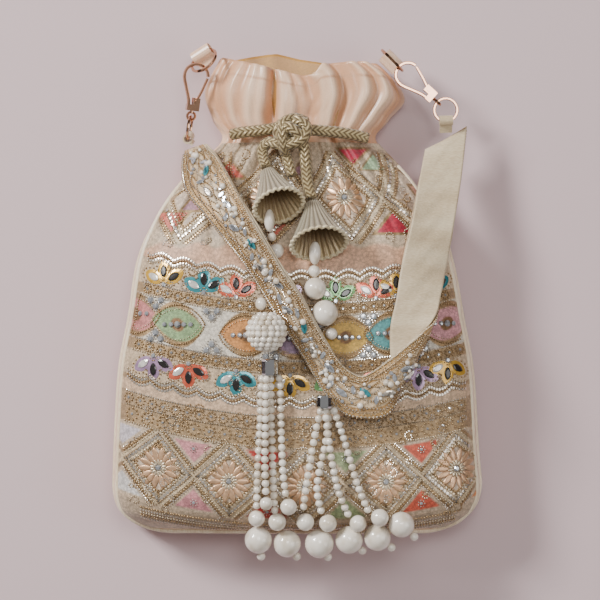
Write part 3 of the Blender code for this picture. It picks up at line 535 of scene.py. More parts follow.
def rim_shift(x, turn):
    """How far the mouth's rim stands above or below its mean height: dipped in front, peaked behind."""
    front = np.interp(x, (-50, -38, -20, 1, 8, 12, 30, 43, 56), (-1, 3.5, -1, -6.5, -6, -0.5, 1, 0.5, -6))
    back = np.interp(x, (-50, -25, -11.5, 5, 20, 40, 56), (0, 5, 7, 3, 1.5, 0.5, -6))
    share = smooth((np.sin(turn) + 0.3) / 0.6)
    return front * share + back * (1 - share)


def groove(u, y):
    """Depth in mm of the gathers: grooves along the bag that deepen towards the drawn neck and open in the ruffle."""
    reach = smooth((y - 8) / 62) * (1 + 0.35 * smooth((y - 86) / 8))
    bend = u + 0.05 * np.sin(y * 0.06 + 5 * u)
    waves = (0.5 + 0.5 * np.sin(15 * bend + 0.9)) ** 3 + 0.7 * (0.5 + 0.5 * np.sin(24 * bend + 2.1 + 0.02 * y)) ** 4
    waves = waves + 0.35 * (0.5 + 0.5 * np.sin(41 * bend + 0.04 * y)) ** 3
    depth = settings().fold_depth / MM * reach * waves / 1.6
    belly = 0.5 * (1 - smooth((y + 30) / 60)) * (0.5 + 0.5 * noise(u * 3.0, y * 0.05, 4))
    return depth + belly


def bag_point(turn, y, inset=0.0):
    """Point of the bag's cloth at an angle and height, with its gathers, inset along the section's own normal."""
    x, z = section(y, turn)
    half, middle = smooth_table(y, 1), smooth_table(y, 4)
    u = (x - middle) / half
    depth = groove(u + np.where(np.sin(turn) < 0, BACK_PHASE, 0.0), y) * smooth(z / 6.0) + inset
    c, s = np.cos(turn), np.sin(turn)
    rise = smooth_table(y, 2)
    out = unit(np.stack([c * rise, s * half], axis=-1))
    x = x - out[..., 0] * depth
    z = np.maximum(z - out[..., 1] * np.where(z > 0.5, depth, inset), inset * 0.9)
    above = np.clip((y - 91) / 28, 0, 1)
    return np.stack([x, y + above * rim_shift(x, turn), z], axis=-1)


def shell(rows):
    """Closed surface through rows of wrapped points, with the first and last rows drawn together to a point."""
    count, columns = rows.shape[:2]
    verts = np.vstack([rows.reshape(-1, 3), rows[0].mean(0), rows[-1].mean(0)])
    faces = triangles(grid_faces(count, columns, wrap=True))
    j = np.arange(columns)
    k = (j + 1) % columns
    a = np.stack([np.full(columns, count * columns), k, j], axis=1)
    b = np.stack([np.full(columns, count * columns + 1), (count - 1) * columns + j, (count - 1) * columns + k], axis=1)
    return verts, np.vstack([faces, a, b])


def outwards(verts, faces):
    """The faces turned over if they enclose a negative volume."""
    a, b, c = (verts[faces[:, k]] for k in range(3))
    return faces if np.einsum("ij,ij->i", a, np.cross(b, c)).sum() > 0 else faces[:, ::-1]


def make_pouch_cloth():
    """Outer satin and golden lining: each a thin closed shell that is open at the mouth."""
    m = materials()
    spread = np.concatenate([np.linspace(-117, -104, 14)[:-1], np.linspace(-104, 20, 50)[:-1],
                             np.linspace(20, 119, 84)])
    for name, look, inset, wall, count in (("pouch_satin", "satin", 0.0, 0.9, 200),
                                           ("pouch_lining", "lining", 1.75, 0.7, 80)):
        turn = np.linspace(0, 2 * np.pi, count, endpoint=False)[None, :]
        y = spread[:, None]
        outer = bag_point(turn, y, inset)
        inner = bag_point(turn, np.concatenate([spread[70:], spread[-1:]])[::-1][1:][:, None], inset + wall)
        deep = bag_point(turn, spread[2:71:6][::-1][:, None], inset + wall)
        rows = np.concatenate([outer, inner, deep])
        rows[0, :, 1] += inset
        verts, faces = shell(rows)
        tall = np.concatenate([np.broadcast_to(y, outer.shape[:2]), np.full((len(rows) - len(outer), count), 119.0)])
        half, middle = smooth_table(tall, 1), smooth_table(tall, 4)
        around = (rows[..., 0] - middle) / half + np.where(np.sin(np.broadcast_to(turn, tall.shape)) < 0,
                                                               BACK_PHASE, 0.0)
        # Painted shade: the satin and the lining are painted darker in the deep gathers and paler on their ridges,
        # shade in the folds towards the neck.
        fold_shade_share = np.clip(groove(around, tall) / 3.6, 0, 1) * smooth((tall - 5) / 40)
        pale, fold_shade = (("#e8c3a3", "#bd7a4a") if look == "satin" else ("#c9964f", "#8a5a24"))
        colour = lay(np.broadcast_to(tint(pale), (*tall.shape, 4)), tint(fold_shade), smooth(fold_shade_share) * 0.62)
        seam = soft(tall + 0 * around, 111.6, 112.3, 0.3) if look == "satin" else 0 * tall
        colour = lay(colour, tint("#c99a78"), seam).reshape(-1, 4)
        colour = np.vstack([colour, colour[:1], colour[-1:]])
        obj = build(name, verts, outwards(verts, faces), m[look], colour=colour)
        if look == "satin":
            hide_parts("outer_bag")
        else:
            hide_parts("lining")


def fine_front(x, y):
    """Height of the gathered front at (x, y), on top of the outer cloth, with the panel's own thickness."""
    half, middle = smooth_table(np.asarray(y, float), 1), smooth_table(np.asarray(y, float), 4)
    u = (x - middle) / half
    return front_z(x, y) - groove(u, y) * 0.9 + 0.9


def on_front(x, y, lift=0.0):
    """Points of the front lifted along its normal, and those normals, from small differences of its height."""
    x, y = np.asarray(x, float), np.asarray(y, float)
    e = 0.8
    zx = (fine_front(x + e, y) - fine_front(x - e, y)) / (2 * e)
    zy = (fine_front(x, y + e) - fine_front(x, y - e)) / (2 * e)
    out = unit(np.stack([-zx, -zy, np.ones_like(x)], axis=-1))
    return np.stack([x, y, fine_front(x, y)], axis=-1) + out * np.asarray(lift)[..., None], out


# ---------------------------------------------------------------- embroidery layout

SAG_MIDDLE, SAG_HALF, SAG_RISE = 6.0, 92.0, 13.5
DIAMOND_X = np.array([-106.0, -69.0, -34.0, 3.5, 43.5, 78.5, 113.0])
DIAMOND_T, DIAMOND_H = -92.0, 18.5
EYES = ((-81.5, "rose"), (-59.5, "green"), (-25.5, "orange"), (-1.0, "mauve"), (23.5, "yellow"), (46.0, "teal"),
        (74.0, "pink"))
LOWER_TREFOILS = ((-84.0, "teal"), (-71.5, "mauve"), (-54.0, "coral"), (-30.5, "teal"), (-4.0, "yellow"),
                  (18.0, "green"), (40.0, "coral"), (59.5, "mauve"), (74.0, "yellow"), (84.5, "orange"))
UPPER_TREFOILS = ((-66.5, "yellow"), (-46.5, "teal"), (-30.5, "coral"), (-8.0, "mauve"), (18.5, "green"),
                  (38.5, "coral"), (48.5, "yellow"), (66.0, "teal"))
TOP_TINTS = ("#cfc5c8", "#d9979a", "#c8463c", "#a9b58a", "#d9694f", "#d98a45")
LOW_TINTS = ("#ded8d2", "#d9979a", "#c8463c", "#a9b58a", "#d9694f", "#d98a45")
UPPER_T, UPPER_H = 51.0, 23.0
# Coloured cloth patches of the gathered top: middle x and y, half width, half height, which way up, colour.
PATCHES = ((27.5, 72.0, 7.0, 4.5, -1, "#b92a48"), (37.5, 69.0, 5.5, 4.5, 1, "#a5bb96"),
           (47.5, 38.5, 8.0, 6.0, 1, "#bd2b45"), (-34.0, 65.0, 7.0, 5.0, 1, "#c9604e"),
           (-63.0, 39.0, 8.0, 5.5, -1, "#d9725c"), (2.0, 66.0, 5.0, 4.0, 1, "#b98a96"),
           (-52.0, 48.0, 6.0, 4.0, 1, "#b98a96"), (61.0, 54.0, 5.0, 4.0, -1, "#d9a28a"),
           (-12.0, 34.0, 6.0, 4.5, -1, "#d9725c"))


def sag(x):
    """How far the bands rise from their lowest point towards the sides, as a parabola."""
    return SAG_RISE * ((np.asarray(x, float) - SAG_MIDDLE) / SAG_HALF) ** 2


def upper_phase(x, y):
    """Phase of the gathered upper diamonds, which narrow with the bag."""
    return (x - 22.5 * smooth_table(y, 1) / 64.0) / (0.56 * smooth_table(y, 1))


def lay(base, colour, mask):
    """Blend a colour over the base where the mask is 1."""
    mask = np.clip(mask, 0, 1)[..., None]
    return base * (1 - mask) + np.asarray(colour)[..., :] * mask


def tint(code, metal=0.0):
    """A hex colour as linear RGB with its share of metal thread."""
    return np.array([*srgb(code)[:3], metal])


def soft(value, low, high, blur=0.45):
    """1 where the value is from low to high, with a blurred edge."""
    return smooth((value - low) / blur + 0.5) * smooth((high - value) / blur + 0.5)


def paint_diamonds(c, p, q, tops, lows):
    """Zigzag bands, diamonds and the coloured triangles between them, from a phase p and a height q in -1..1."""
    inside = soft(np.abs(q), -1, 1.0, 0.03)
    d = np.abs(p - np.round(p)) * 2 + np.abs(q)
    index = np.clip(np.floor(p).astype(int) + 3, 0, 5)
    up = np.array([tint(code) for code in tops])[index]
    down = np.array([tint(code) for code in lows])[index]
    corner = np.where((q > 0)[..., None], up, down)
    c = lay(c, tint("#d3bda2", 0.2), inside * soft(d, 1.2, 9, 0.03))
    c = lay(c, corner, inside * soft(d, 1.36, 9, 0.03) * soft(np.abs(q), -1, 0.9, 0.04))
    for low, high, code, metal in ((1.1, 1.22, "#b89c7a", 0.8), (0.98, 1.1, "#d9c4a2", 0.0),
                                   (0.82, 0.98, "#c9b498", 0.5), (0.74, 0.82, "#dcc8a6", 0.0),
                                   (0.60, 0.74, "#bfa482", 0.7), (-1, 0.60, "#d9c3ac", 0.15)):
        c = lay(c, tint(code, metal), inside * soft(d, low, high, 0.03))
    return c


def paint_front(x, y):
    """Colour of the front at (x, y): bands that follow the sag, diamonds, scallops, eyes and the gathered top."""
    t = y - sag(x)
    grain = 1 + 0.06 * noise(x * 0.8, y * 0.15, 2)
    c = np.broadcast_to(tint("#d9bda0"), (*x.shape, 4)).copy()
    c = lay(c, tint("#cdb79c", 0.2), soft(t, -130, -111, 0.8))
    p = np.interp(x, DIAMOND_X, np.arange(-3, 4))
    c = paint_diamonds(c, p, (t - DIAMOND_T) / DIAMOND_H, TOP_TINTS, LOW_TINTS)
    for low, high, code, metal in ((-73.5, -65.0, "#bba07c", 0.7), (-65.0, -57.5, "#bda382", 0.5),
                                   (-57.5, -52.0, "#dcbc9c", 0.0), (-52.0, -49.5, "#bba07c", 0.7),
                                   (-49.5, -36.5, "#d3bb9c", 0.0), (-36.5, -30.5, "#b29772", 0.6),
                                   (-30.5, -7.5, "#e6dccb", 0.0), (-7.5, -2.0, "#b29772", 0.6),
                                   (-2.0, 11.0, "#d3bb9c", 0.0), (11.0, 13.0, "#bba07c", 0.7)):
        c = lay(c, tint(code, metal), soft(t, low, high, 0.6))
    for eye_x, name in EYES:
        r = np.abs(x - eye_x) / 13.2
        lens = np.abs(t + 19.0) / (9.4 * np.clip(1 - r ** 2, 0.001, 1))
        shade = {"rose": "#cf8580", "green": "#93ad7a", "orange": "#dc9a55", "yellow": "#dcb458", "teal": "#5fa0a0",
                 "pink": "#dca0a4", "mauve": "#b79ab4"}[name]
        c = lay(c, tint("#a98c66", 0.8), soft(lens, -1, 1.22, 0.1) * (r < 1))
        c = lay(c, tint(shade), soft(lens, -1, 0.86, 0.1) * (r < 0.95))
        c = lay(c, tint("#8f6a44", 0.4), soft(np.hypot((x - eye_x) / 3.4, (t + 19.0) / 3.4), -1, 1, 0.2))
    c = lay(c, tint("#e0b493"), soft(y - 0.4 * sag(x), 14.0, 27.0, 2.0) * (t > 11))
    beige = ("#d3bda2",) * 6
    p = upper_phase(x, y)
    ground = np.broadcast_to(tint("#cdb79c", 0.2), c.shape).copy()
    top = paint_diamonds(ground, p, (y - UPPER_T) / UPPER_H, beige, beige)
    c = lay(c, top, smooth((y - 26 - 1.5 * np.sin(x * 0.35)) / 2.5))
    for mx, my, wide, tall, down, code in PATCHES:
        u, v = (x - mx) / wide, (y - my) / tall * down
        shape = soft(np.abs(u) * 1.7 + v, -9, 0.9, 0.06) * soft(v, -0.8, 9, 0.06)
        edge = soft(np.abs(u) * 1.7 + v, -9, 1.3, 0.06) * soft(v, -1.05, 9, 0.06)
        c = lay(lay(c, tint("#a58a62", 0.6), edge), tint(code), shape)
    c[..., :3] = c[..., :3] ** 1.12 * grain[..., None]
    return c


def make_front_panel():
    """The embroidered front: one fine sheet over the outer cloth, painted by the layout."""
    m = materials()
    angle = np.radians(np.linspace(163.5, 16.5, 250))[None, :]
    y = np.linspace(-114.4, 79.0, 288)[:, None]
    half, power, middle = smooth_table(y, 1), smooth_table(y, 3), smooth_table(y, 4)
    x = np.sign(np.cos(angle)) * np.abs(np.cos(angle)) ** (2 / power) * half + middle
    y = np.broadcast_to(y, x.shape)
    point, _ = on_front(x, y, 0.1)
    verts, faces = point.reshape(-1, 3), grid_faces(*x.shape)
    obj = build("front_embroidery", verts, faces, m["front"], colour=paint_front(x, y))
    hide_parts("front_panel")


def side_line(side, front):
    """Line of the piping up one side, from the middle of the base: along the section's edge."""
    y = np.concatenate([np.full(26, -115.5), np.linspace(-115.5, 76, 110)[1:]])
    angle = np.radians(18 if front else -4)
    half, middle = smooth_table(y, 1), smooth_table(y, 4)
    point = bag_point(np.full(len(y), angle if side > 0 else np.pi - angle), y)
    base_x = np.linspace(0, point[26, 0], 27)[:26]
    power, rise = smooth_table(np.array([-115.5]), 3)[0], smooth_table(np.array([-115.5]), 2)[0]
    across = np.clip(np.abs(base_x - middle[0]) / half[0], 0, 1)
    point[:26, 0] = base_x
    point[:26, 2] = FLOOR_HALF + rise * (1 - across ** power) ** (1 / power) * (1 if front else -0.45)
    return spline(point[::4], 150)


def make_piping():
    """Cream piping on the front's edge and a second one round the back seam."""
    m = materials()
    for name, front in (("piping_front", True), ("piping_back", False)):
        left, right = side_line(-1, front), side_line(1, front)
        line = spline(np.vstack([left[::-1][:-1:5], right[::5]]), 260)
        out = unit(line - [0, -10, 10])
        line = line + out * 0.35
        verts, faces = ring_shape(line, 1.25, 12)
        faces = triangles(faces)
        obj = build(f"{name}_cord", verts, outwards(verts, faces), m["piping"])
        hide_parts(name)


# ---------------------------------------------------------------- beadwork

class Beads:
    """Beads, sequins and mirrors gathered by material, then made one mesh for each material."""

    def __init__(self, prefix, body, slot, surface):
        """surface(x, y, lift) gives points and normals; prefix starts each mesh's name."""
        self.prefix, self.body, self.slot, self.surface = prefix, body, slot, surface
        self.sets = {}

    def put(self, kind, look, x, y, size, along=None, lift=0.35):
        """Beads of a kind at places of the surface. along is a direction in the surface's own plane."""
        x, y = np.atleast_1d(np.asarray(x, float)), np.atleast_1d(np.asarray(y, float))
        if not len(x):
            return
        places, out = self.surface(x, y, np.full(x.shape, lift))
        if along is None:
            way = np.broadcast_to([1.0, 0.0, 0.0], places.shape)
        else:
            step = np.asarray(along, float).reshape(-1, 2) * 0.5
            way = self.surface(x + step[:, 0], y + step[:, 1], np.full(x.shape, lift))[0] - places
        size = (size, size, size) if np.isscalar(size) else size
        self.sets.setdefault(look, []).append(scatter(kind, places, way, out, size))

    def line(self, kind, look, x, y, pitch, size, lift=0.35):
        """Beads threaded along a line of the surface at an even pitch."""
        x, y = np.asarray(x, float), np.asarray(y, float)
        run = np.concatenate([[0], np.cumsum(np.hypot(np.diff(x), np.diff(y)))])
        if run[-1] < pitch:
            return
        at = np.linspace(0, run[-1], max(2, int(run[-1] / pitch) + 1))
        self.put(kind, look, np.interp(at, run, x), np.interp(at, run, y), size, None, lift)

    def ring(self, kind, look, x, y, radius, count, size, lift=0.35):
        """A ring of beads about each of several points."""
        a = np.linspace(0, 2 * np.pi, count, endpoint=False)[None, :]
        px = np.asarray(x, float).reshape(-1, 1) + radius * np.cos(a)
        py = np.asarray(y, float).reshape(-1, 1) + radius * np.sin(a)
        self.put(kind, look, px.ravel(), py.ravel(), size, None, lift)

    def petals(self, look, x, y, angles, reach, half, width=1.0, lift=0.4, height=1.0):
        """Marquises that radiate from a point, each with its middle at reach."""
        a = np.radians(np.asarray(angles, float))
        self.put("marquise", look, x + reach * np.cos(a), y + reach * np.sin(a), (half, half * width, height),
                 np.stack([np.cos(a), np.sin(a)], axis=1), lift)

    def finish(self):
        """Build the meshes and return them."""
        made = []
        for look, sets in self.sets.items():
            verts, faces, start = [], [], 0
            for v, f in sets:
                verts.append(v)
                faces.append(f + start)
                start += len(v)
            made.append(build(f"{self.prefix}_{look}", np.vstack(verts), np.vstack(faces), materials()[look],
                              self.body, smooth_faces=look in ("pearl", "gold", "pale_gold", "copper")))
        return made


def phase_x(p):
    """Where a phase of the diamonds lies along the base."""
    return np.interp(p, np.arange(-3, 4), DIAMOND_X)


def zigzags(beads, place, limit, levels):
    """Sequins along the sides of the diamonds: place turns (phase, height) into a point."""
    for look, kind, level, pitch, size in levels:
        for cell in range(-3, 4):
            for side in (-1, 1):
                for up in (-1, 1):
                    a = np.linspace(0, min(level, 1.0), 60)
                    q = level - a
                    good = (q <= 1.0) & (q >= 0) & (a <= 1.0)
                    if good.sum() < 2:
                        continue
                    x, y = place(cell + side * a[good] / 2, up * q[good])
                    inside = limit(x, y)
                    if inside.sum() > 1:
                        beads.line(kind, look, x[inside], y[inside], pitch, size)


def within_front(x, y, margin=5.0):
    """True where a point lies on the embroidered front, a margin inside its piping."""
    half, middle = smooth_table(y, 1), smooth_table(y, 4)
    return (np.abs(x - middle) < half * 0.965 - margin * 0.5) & (y > -114) & (y < 77)


def make_beadwork():
    """Rings, zigzags, flowers, scallops, eyes and fillings over the painted front."""
    rng = np.random.default_rng(11)
    beads = Beads("front", "bag", "embroidery", on_front)
    wide = np.linspace(-92, 92, 185)
    for middle, half in ((-69.0, 3.6), (-61.3, 2.7), (-33.5, 2.5), (-4.8, 2.3)):
        x = np.arange(-90, 91, half * 2 + 0.5)
        y = middle + sag(x)
        ok = within_front(x, y)
        beads.ring("seed", "gold", x[ok], y[ok], half * 0.8, 9, 0.62)
        beads.put("stone", "crystal", x[ok], y[ok], 0.7)
        for edge, look in ((-half - 0.7, "pale_gold"), (half + 0.7, "silver")):
            y = middle + edge + sag(wide)
            ok = within_front(wide, y)
            beads.line("seed", look, wide[ok], y[ok], 1.25, 0.5)
    for level, look in ((-117.5, "silver"), (-116.2, "gold"), (-115.0, "pale_gold"), (-113.6, "silver"),
                        (-112.2, "gold")):
        x = np.linspace(-78, 78, 150)
        y = level + 0.86 * sag(x)
        ok = within_front(x, y, 3)
        beads.line("seed", look, x[ok], y[ok], 1.4, 0.6)

    def low(p, q):
        """Point of the lower diamonds at a phase and a height."""
        x = phase_x(p)
        return x, DIAMOND_T + DIAMOND_H * q + sag(x)

    def high(p, q):
        """Point of the gathered upper diamonds at a phase and a height."""
        y = UPPER_T + UPPER_H * q
        half = smooth_table(y, 1)
        return 22.5 * half / 64 + p * 0.56 * half, y

    levels = (("gold", "seed", 0.66, 1.2, 0.5), ("pale_gold", "sequin", 0.74, 1.6, 0.8),
              ("silver", "sequin", 0.88, 1.9, 1.0), ("gold", "seed", 0.93, 1.2, 0.5),
              ("pale_gold", "seed", 1.07, 1.3, 0.5), ("gold", "sequin", 1.16, 1.5, 0.75),
              ("silver", "seed", 1.24, 1.3, 0.45))
    zigzags(beads, low, within_front, levels)
    zigzags(beads, high, lambda x, y: within_front(x, y) & (y > 28), levels)
    centres = [low(np.array([float(k)]), np.array([0.0])) for k in range(-2, 3)]
    centres += [high(np.array([k]), np.array([0.0])) for k in (-1.0, 0.0)]
    for x, y in centres:
        x, y = float(x[0]), float(y[0])
        turns = np.arange(14) * 360 / 14
        beads.petals("copper", x, y, turns, 6.8, 4.0, 0.78, 0.3, 0.8)
        beads.petals("pale_gold", x, y, turns + 13, 3.0, 1.5, 1.0, 0.5, 0.8)
        beads.put("stone", "crystal", x, y, 1.5)
        beads.ring("seed", "gold", x, y, 11.0, 44, 0.45)
        beads.ring("seed", "pale_gold", x, y, 2.0, 9, 0.4, lift=0.7)
    for k in range(-3, 3):
        for up in (-1, 1):
            x, y = low(np.array([k + 0.5]), np.array([up * 0.72]))
            if within_front(x, y)[0]:
                beads.ring("seed", "silver", x, y, 1.6, 7, 0.4)
                beads.put("stone", "crystal", x, y, 0.9)
    for row, base, down in ((LOWER_TREFOILS, -38.4, -1), (UPPER_TREFOILS, 0.4, 1)):
        for x, look in row:
            y = base + sag(x) - 0.4 * down
            angles = np.array([90.0, 32.0, 148.0]) * down
            if not within_front(np.array([x]), np.array([y]), 14)[0]:
                continue
            beads.petals(look, x, y, angles, 6.0, 5.6, 1.35, 0.15, 0.7)
            # Painted reflection: two of each trefoil's mirrors are painted as dark reflections and the one on the left
            # as a bright reflection.
            beads.petals("dark_reflection", x, y, angles[:2], 5.9, 3.2, 1.15, 0.75, 0.9)
            beads.petals("bright_reflection", x, y, angles[2:], 5.9, 3.2, 1.15, 0.75, 0.9)
            for a in np.radians(angles):
                px, py = x + 6.0 * np.cos(a), y + 6.0 * np.sin(a)
                t = np.linspace(0, 2 * np.pi, 17)[:-1]
                ex, ey = 6.0 * np.cos(t), 3.9 * np.sin(t)
                beads.put("seed", "gold", px + ex * np.cos(a) - ey * np.sin(a),
                          py + ex * np.sin(a) + ey * np.cos(a), 0.5)
            beads.put("stone", "crystal", x, y - 0.8 * down, 1.3)
    for edge, down in ((-51.0, -1), (12.0, 1)):
        x = np.linspace(-90, 90, 700)
        y = edge + sag(x) + 2.6 * down * np.abs(np.sin((x + 4) * np.pi / 11.5))
        for shift, look in ((0.0, "silver"), (1.4, "gold"), (2.8, "silver"), (4.0, "pale_gold")):
            ok = within_front(x, y)
            beads.line("sequin" if look == "silver" else "seed", look, x[ok], y[ok] - shift * down, 1.45, 0.68)
    for x, _ in EYES:
        t = np.linspace(0, 2 * np.pi, 61)
        shape = 9.8 * np.sign(np.sin(t)) * np.abs(np.sin(t)) ** 1.5
        for wide, tall, look, pitch, size in ((13.4, 1.0, "gold", settings().bead_pitch / MM, 0.55),
                                              (11.6, 0.78, "pale_gold", 1.4, 0.4)):
            ex, ey = x + wide * np.cos(t), -19.0 + sag(x) + tall * shape
            ok = within_front(ex, ey, 2)
            beads.line("seed", look, ex[ok], ey[ok], pitch, size)
        for dx in (-6.5, -3.2, 0.0, 3.2, 6.5):
            if within_front(np.array([x + dx]), np.array([-19.0]), 6)[0]:
                beads.put("stone", "crystal", x + dx, -19.0 + sag(x), 1.3 if dx else 1.7, None, 0.5)
    joints = [(a[0] + b[0]) / 2 for a, b in zip(EYES[:-1], EYES[1:])] + [-95.0 + 4, 88.0]
    for x in joints:
        for up in (-1, 1):
            for dx, dy in ((0, 6.5), (-2.6, 9.6), (2.6, 9.6)):
                px, py = np.array([x + dx]), np.array([-19.0 + sag(x) + up * dy])
                if within_front(px, py)[0]:
                    beads.put("stone", "crystal", px, py, 1.8, None, 0.4)
                    beads.ring("seed", "silver", px, py, 2.3, 10, 0.4)
    count = settings().filigree
    px, py = rng.uniform(-90, 90, count), rng.uniform(-112, 76, count)
    level = py - sag(px)
    bare = ((level > -30) & (level < -8)) | ((level > -57.5) & (level < -52)) | ((level > 13) & (py < 27))
    for x, y, skip in zip(px, py, bare):
        if skip or not within_front(np.array([x]), np.array([y]), 8)[0]:
            continue
        a = np.linspace(0, 1.7 * np.pi, 18) * rng.choice((-1, 1)) + rng.uniform(0, 6.28)
        r = rng.uniform(1.6, 3.0) * np.linspace(1, 0.35, 18)
        ok = within_front(x + r * np.cos(a), y + r * np.sin(a))
        if ok.all():
            look = rng.choice(("gold", "pale_gold", "silver"))
            beads.line("seed", look, x + r * np.cos(a), y + r * np.sin(a), 1.1, 0.5)
    beads.finish()


# ---------------------------------------------------------------- strap

STRAP_ROWS, STRAP_COLUMNS, STRAP_WIDE = 420, 25, 22.0


def strap_grid():
    """Middle surface of the strap, its unit normals towards the embroidered face, and its length."""
    rows = [[(x, y, lift + (float(linear_front_z(x, y)) + 3.7 if abs(x - np.interp(y, STATIONS[:, 0], STATIONS[:, 4]))
                            < np.interp(y, STATIONS[:, 0], STATIONS[:, 1]) else 0.0)) for x, y, lift in row]
            for row in STRAP]
    right, middle, left = (even_rows([row[k] for row in rows]) for k in range(3))
    across = np.linspace(0, 1, STRAP_COLUMNS)[None, :, None]
    a, m, b = right[:, None], middle[:, None], left[:, None]
    grid = (1 - across) ** 2 * a + 2 * across * (1 - across) * (2 * m - (a + b) / 2) + across ** 2 * b
    out = unit(np.cross(np.gradient(grid, axis=0), np.gradient(grid, axis=1)))
    if out[STRAP_ROWS // 5, STRAP_COLUMNS // 2, 2] < 0:
        out = -out
    for _ in range(6):
        out[1:-1] = unit(out[:-2] + 2 * out[1:-1] + out[2:])
    return grid, out, length_of(middle)


def even_rows(points):
    """Catmull-Rom curve through the points, with the same number of steps between each two of them."""
    p = np.asarray(points, float)
    q = np.vstack([2 * p[0] - p[1], p, 2 * p[-1] - p[-2]])
    at = np.linspace(0, len(p) - 1, STRAP_ROWS)
    i = np.minimum(at.astype(int), len(p) - 2)
    t = (at - i)[:, None]
    return 0.5 * (2 * q[i + 1] + (q[i + 2] - q[i]) * t + (2 * q[i] - 5 * q[i + 1] + 4 * q[i + 2] - q[i + 3]) * t ** 2
                  + (3 * q[i + 1] - q[i] - 3 * q[i + 2] + q[i + 3]) * t ** 3)


class StrapFace:
    """Turns millimetres along and across the strap into points of its face."""

    def __init__(self):
        """Make the grid once, with the run of its middle line."""
        self.grid, self.out, self.length = strap_grid()
        middle = self.grid[:, STRAP_COLUMNS // 2]
        self.run = np.concatenate([[0], np.cumsum(np.linalg.norm(np.diff(middle, axis=0), axis=1))])

    def pick(self, values, s, v):
        """Values of the grid at s mm along and v mm across, bilinear."""
        i = np.interp(s, self.run, np.arange(STRAP_ROWS))
        j = np.clip((v / STRAP_WIDE + 0.5) * (STRAP_COLUMNS - 1), 0, STRAP_COLUMNS - 1.001)
        i = np.clip(i, 0, STRAP_ROWS - 1.001)
        a, b = i.astype(int), j.astype(int)
        f, g = (i - a)[:, None], (j - b)[:, None]
        return ((1 - f) * (1 - g) * values[a, b] + f * (1 - g) * values[a + 1, b]
                + (1 - f) * g * values[a, b + 1] + f * g * values[a + 1, b + 1])

    def __call__(self, s, v, lift):
        """Points at s along and v across, lifted from the face, and their normals."""
        out = unit(self.pick(self.out, s, v))
        return self.pick(self.grid, s, v) + out * (1.3 + np.asarray(lift))[:, None], out


def slab(near, far):
    """Closed slab between two grids of points."""
    rows = np.concatenate([near, far[:, ::-1]], axis=1)
    verts, faces = shell(rows)
    return verts, outwards(verts, faces)


def paint_strap(s, v):
    """Colour of the strap's face: gold borders at both edges and a beaded beige field between them."""
    edge = np.abs(v)
    c = np.broadcast_to(tint("#cdb08a", 0.25), (*s.shape, 4)).copy()
    c = lay(c, tint("#d7bd98", 0.1), soft(edge, -1, 6.2, 0.5))
    c = lay(c, tint("#a8804c", 0.75), soft(edge, 6.2, 7.4, 0.4))
    c = lay(c, tint("#bd955c", 0.7), soft(edge, 8.9, 10.2, 0.4))
    c = lay(c, tint("#e6d3b6", 0.0), soft(v, -12, -10.3, 0.4))
    motif = np.hypot((np.mod(s, 15.0) - 7.5) / 6.0, v / 5.2)
    return lay(c, tint("#b99463", 0.6), soft(motif, 0.82, 1.0, 0.1))


def make_strap():
    """The strap: embroidered face with its beadwork, and the plain dupion backing."""
    m = materials()
    place = StrapFace()
    grid, out = place.grid, place.out
    v = np.broadcast_to(np.linspace(-11, 11, STRAP_COLUMNS)[None], grid.shape[:2])
    s = np.broadcast_to(place.run[:, None], grid.shape[:2])
    near, far = grid + out * 0.45, grid + out * 1.3
    verts, faces = slab(near, far)
    colour = paint_strap(s, v)
    colour = np.concatenate([colour, colour[:, ::-1]], axis=1).reshape(-1, 4)
    colour = np.vstack([colour, colour[:1], colour[-1:]])
    face = build("strap_embroidery", verts, faces, m["strap"], colour=colour)
    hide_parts("strap_face")
    ripple = 0.16 * np.sin(s * 0.45 + 3 * np.sin(v * 0.2))[..., None]
    verts, faces = slab((grid - out * 0.45)[::2], (grid - out * (1.35 + ripple))[::2])
    back = build("strap_backing", verts, faces, m["dupion"])
    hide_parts("strap_lining")
    strap_beads(place)


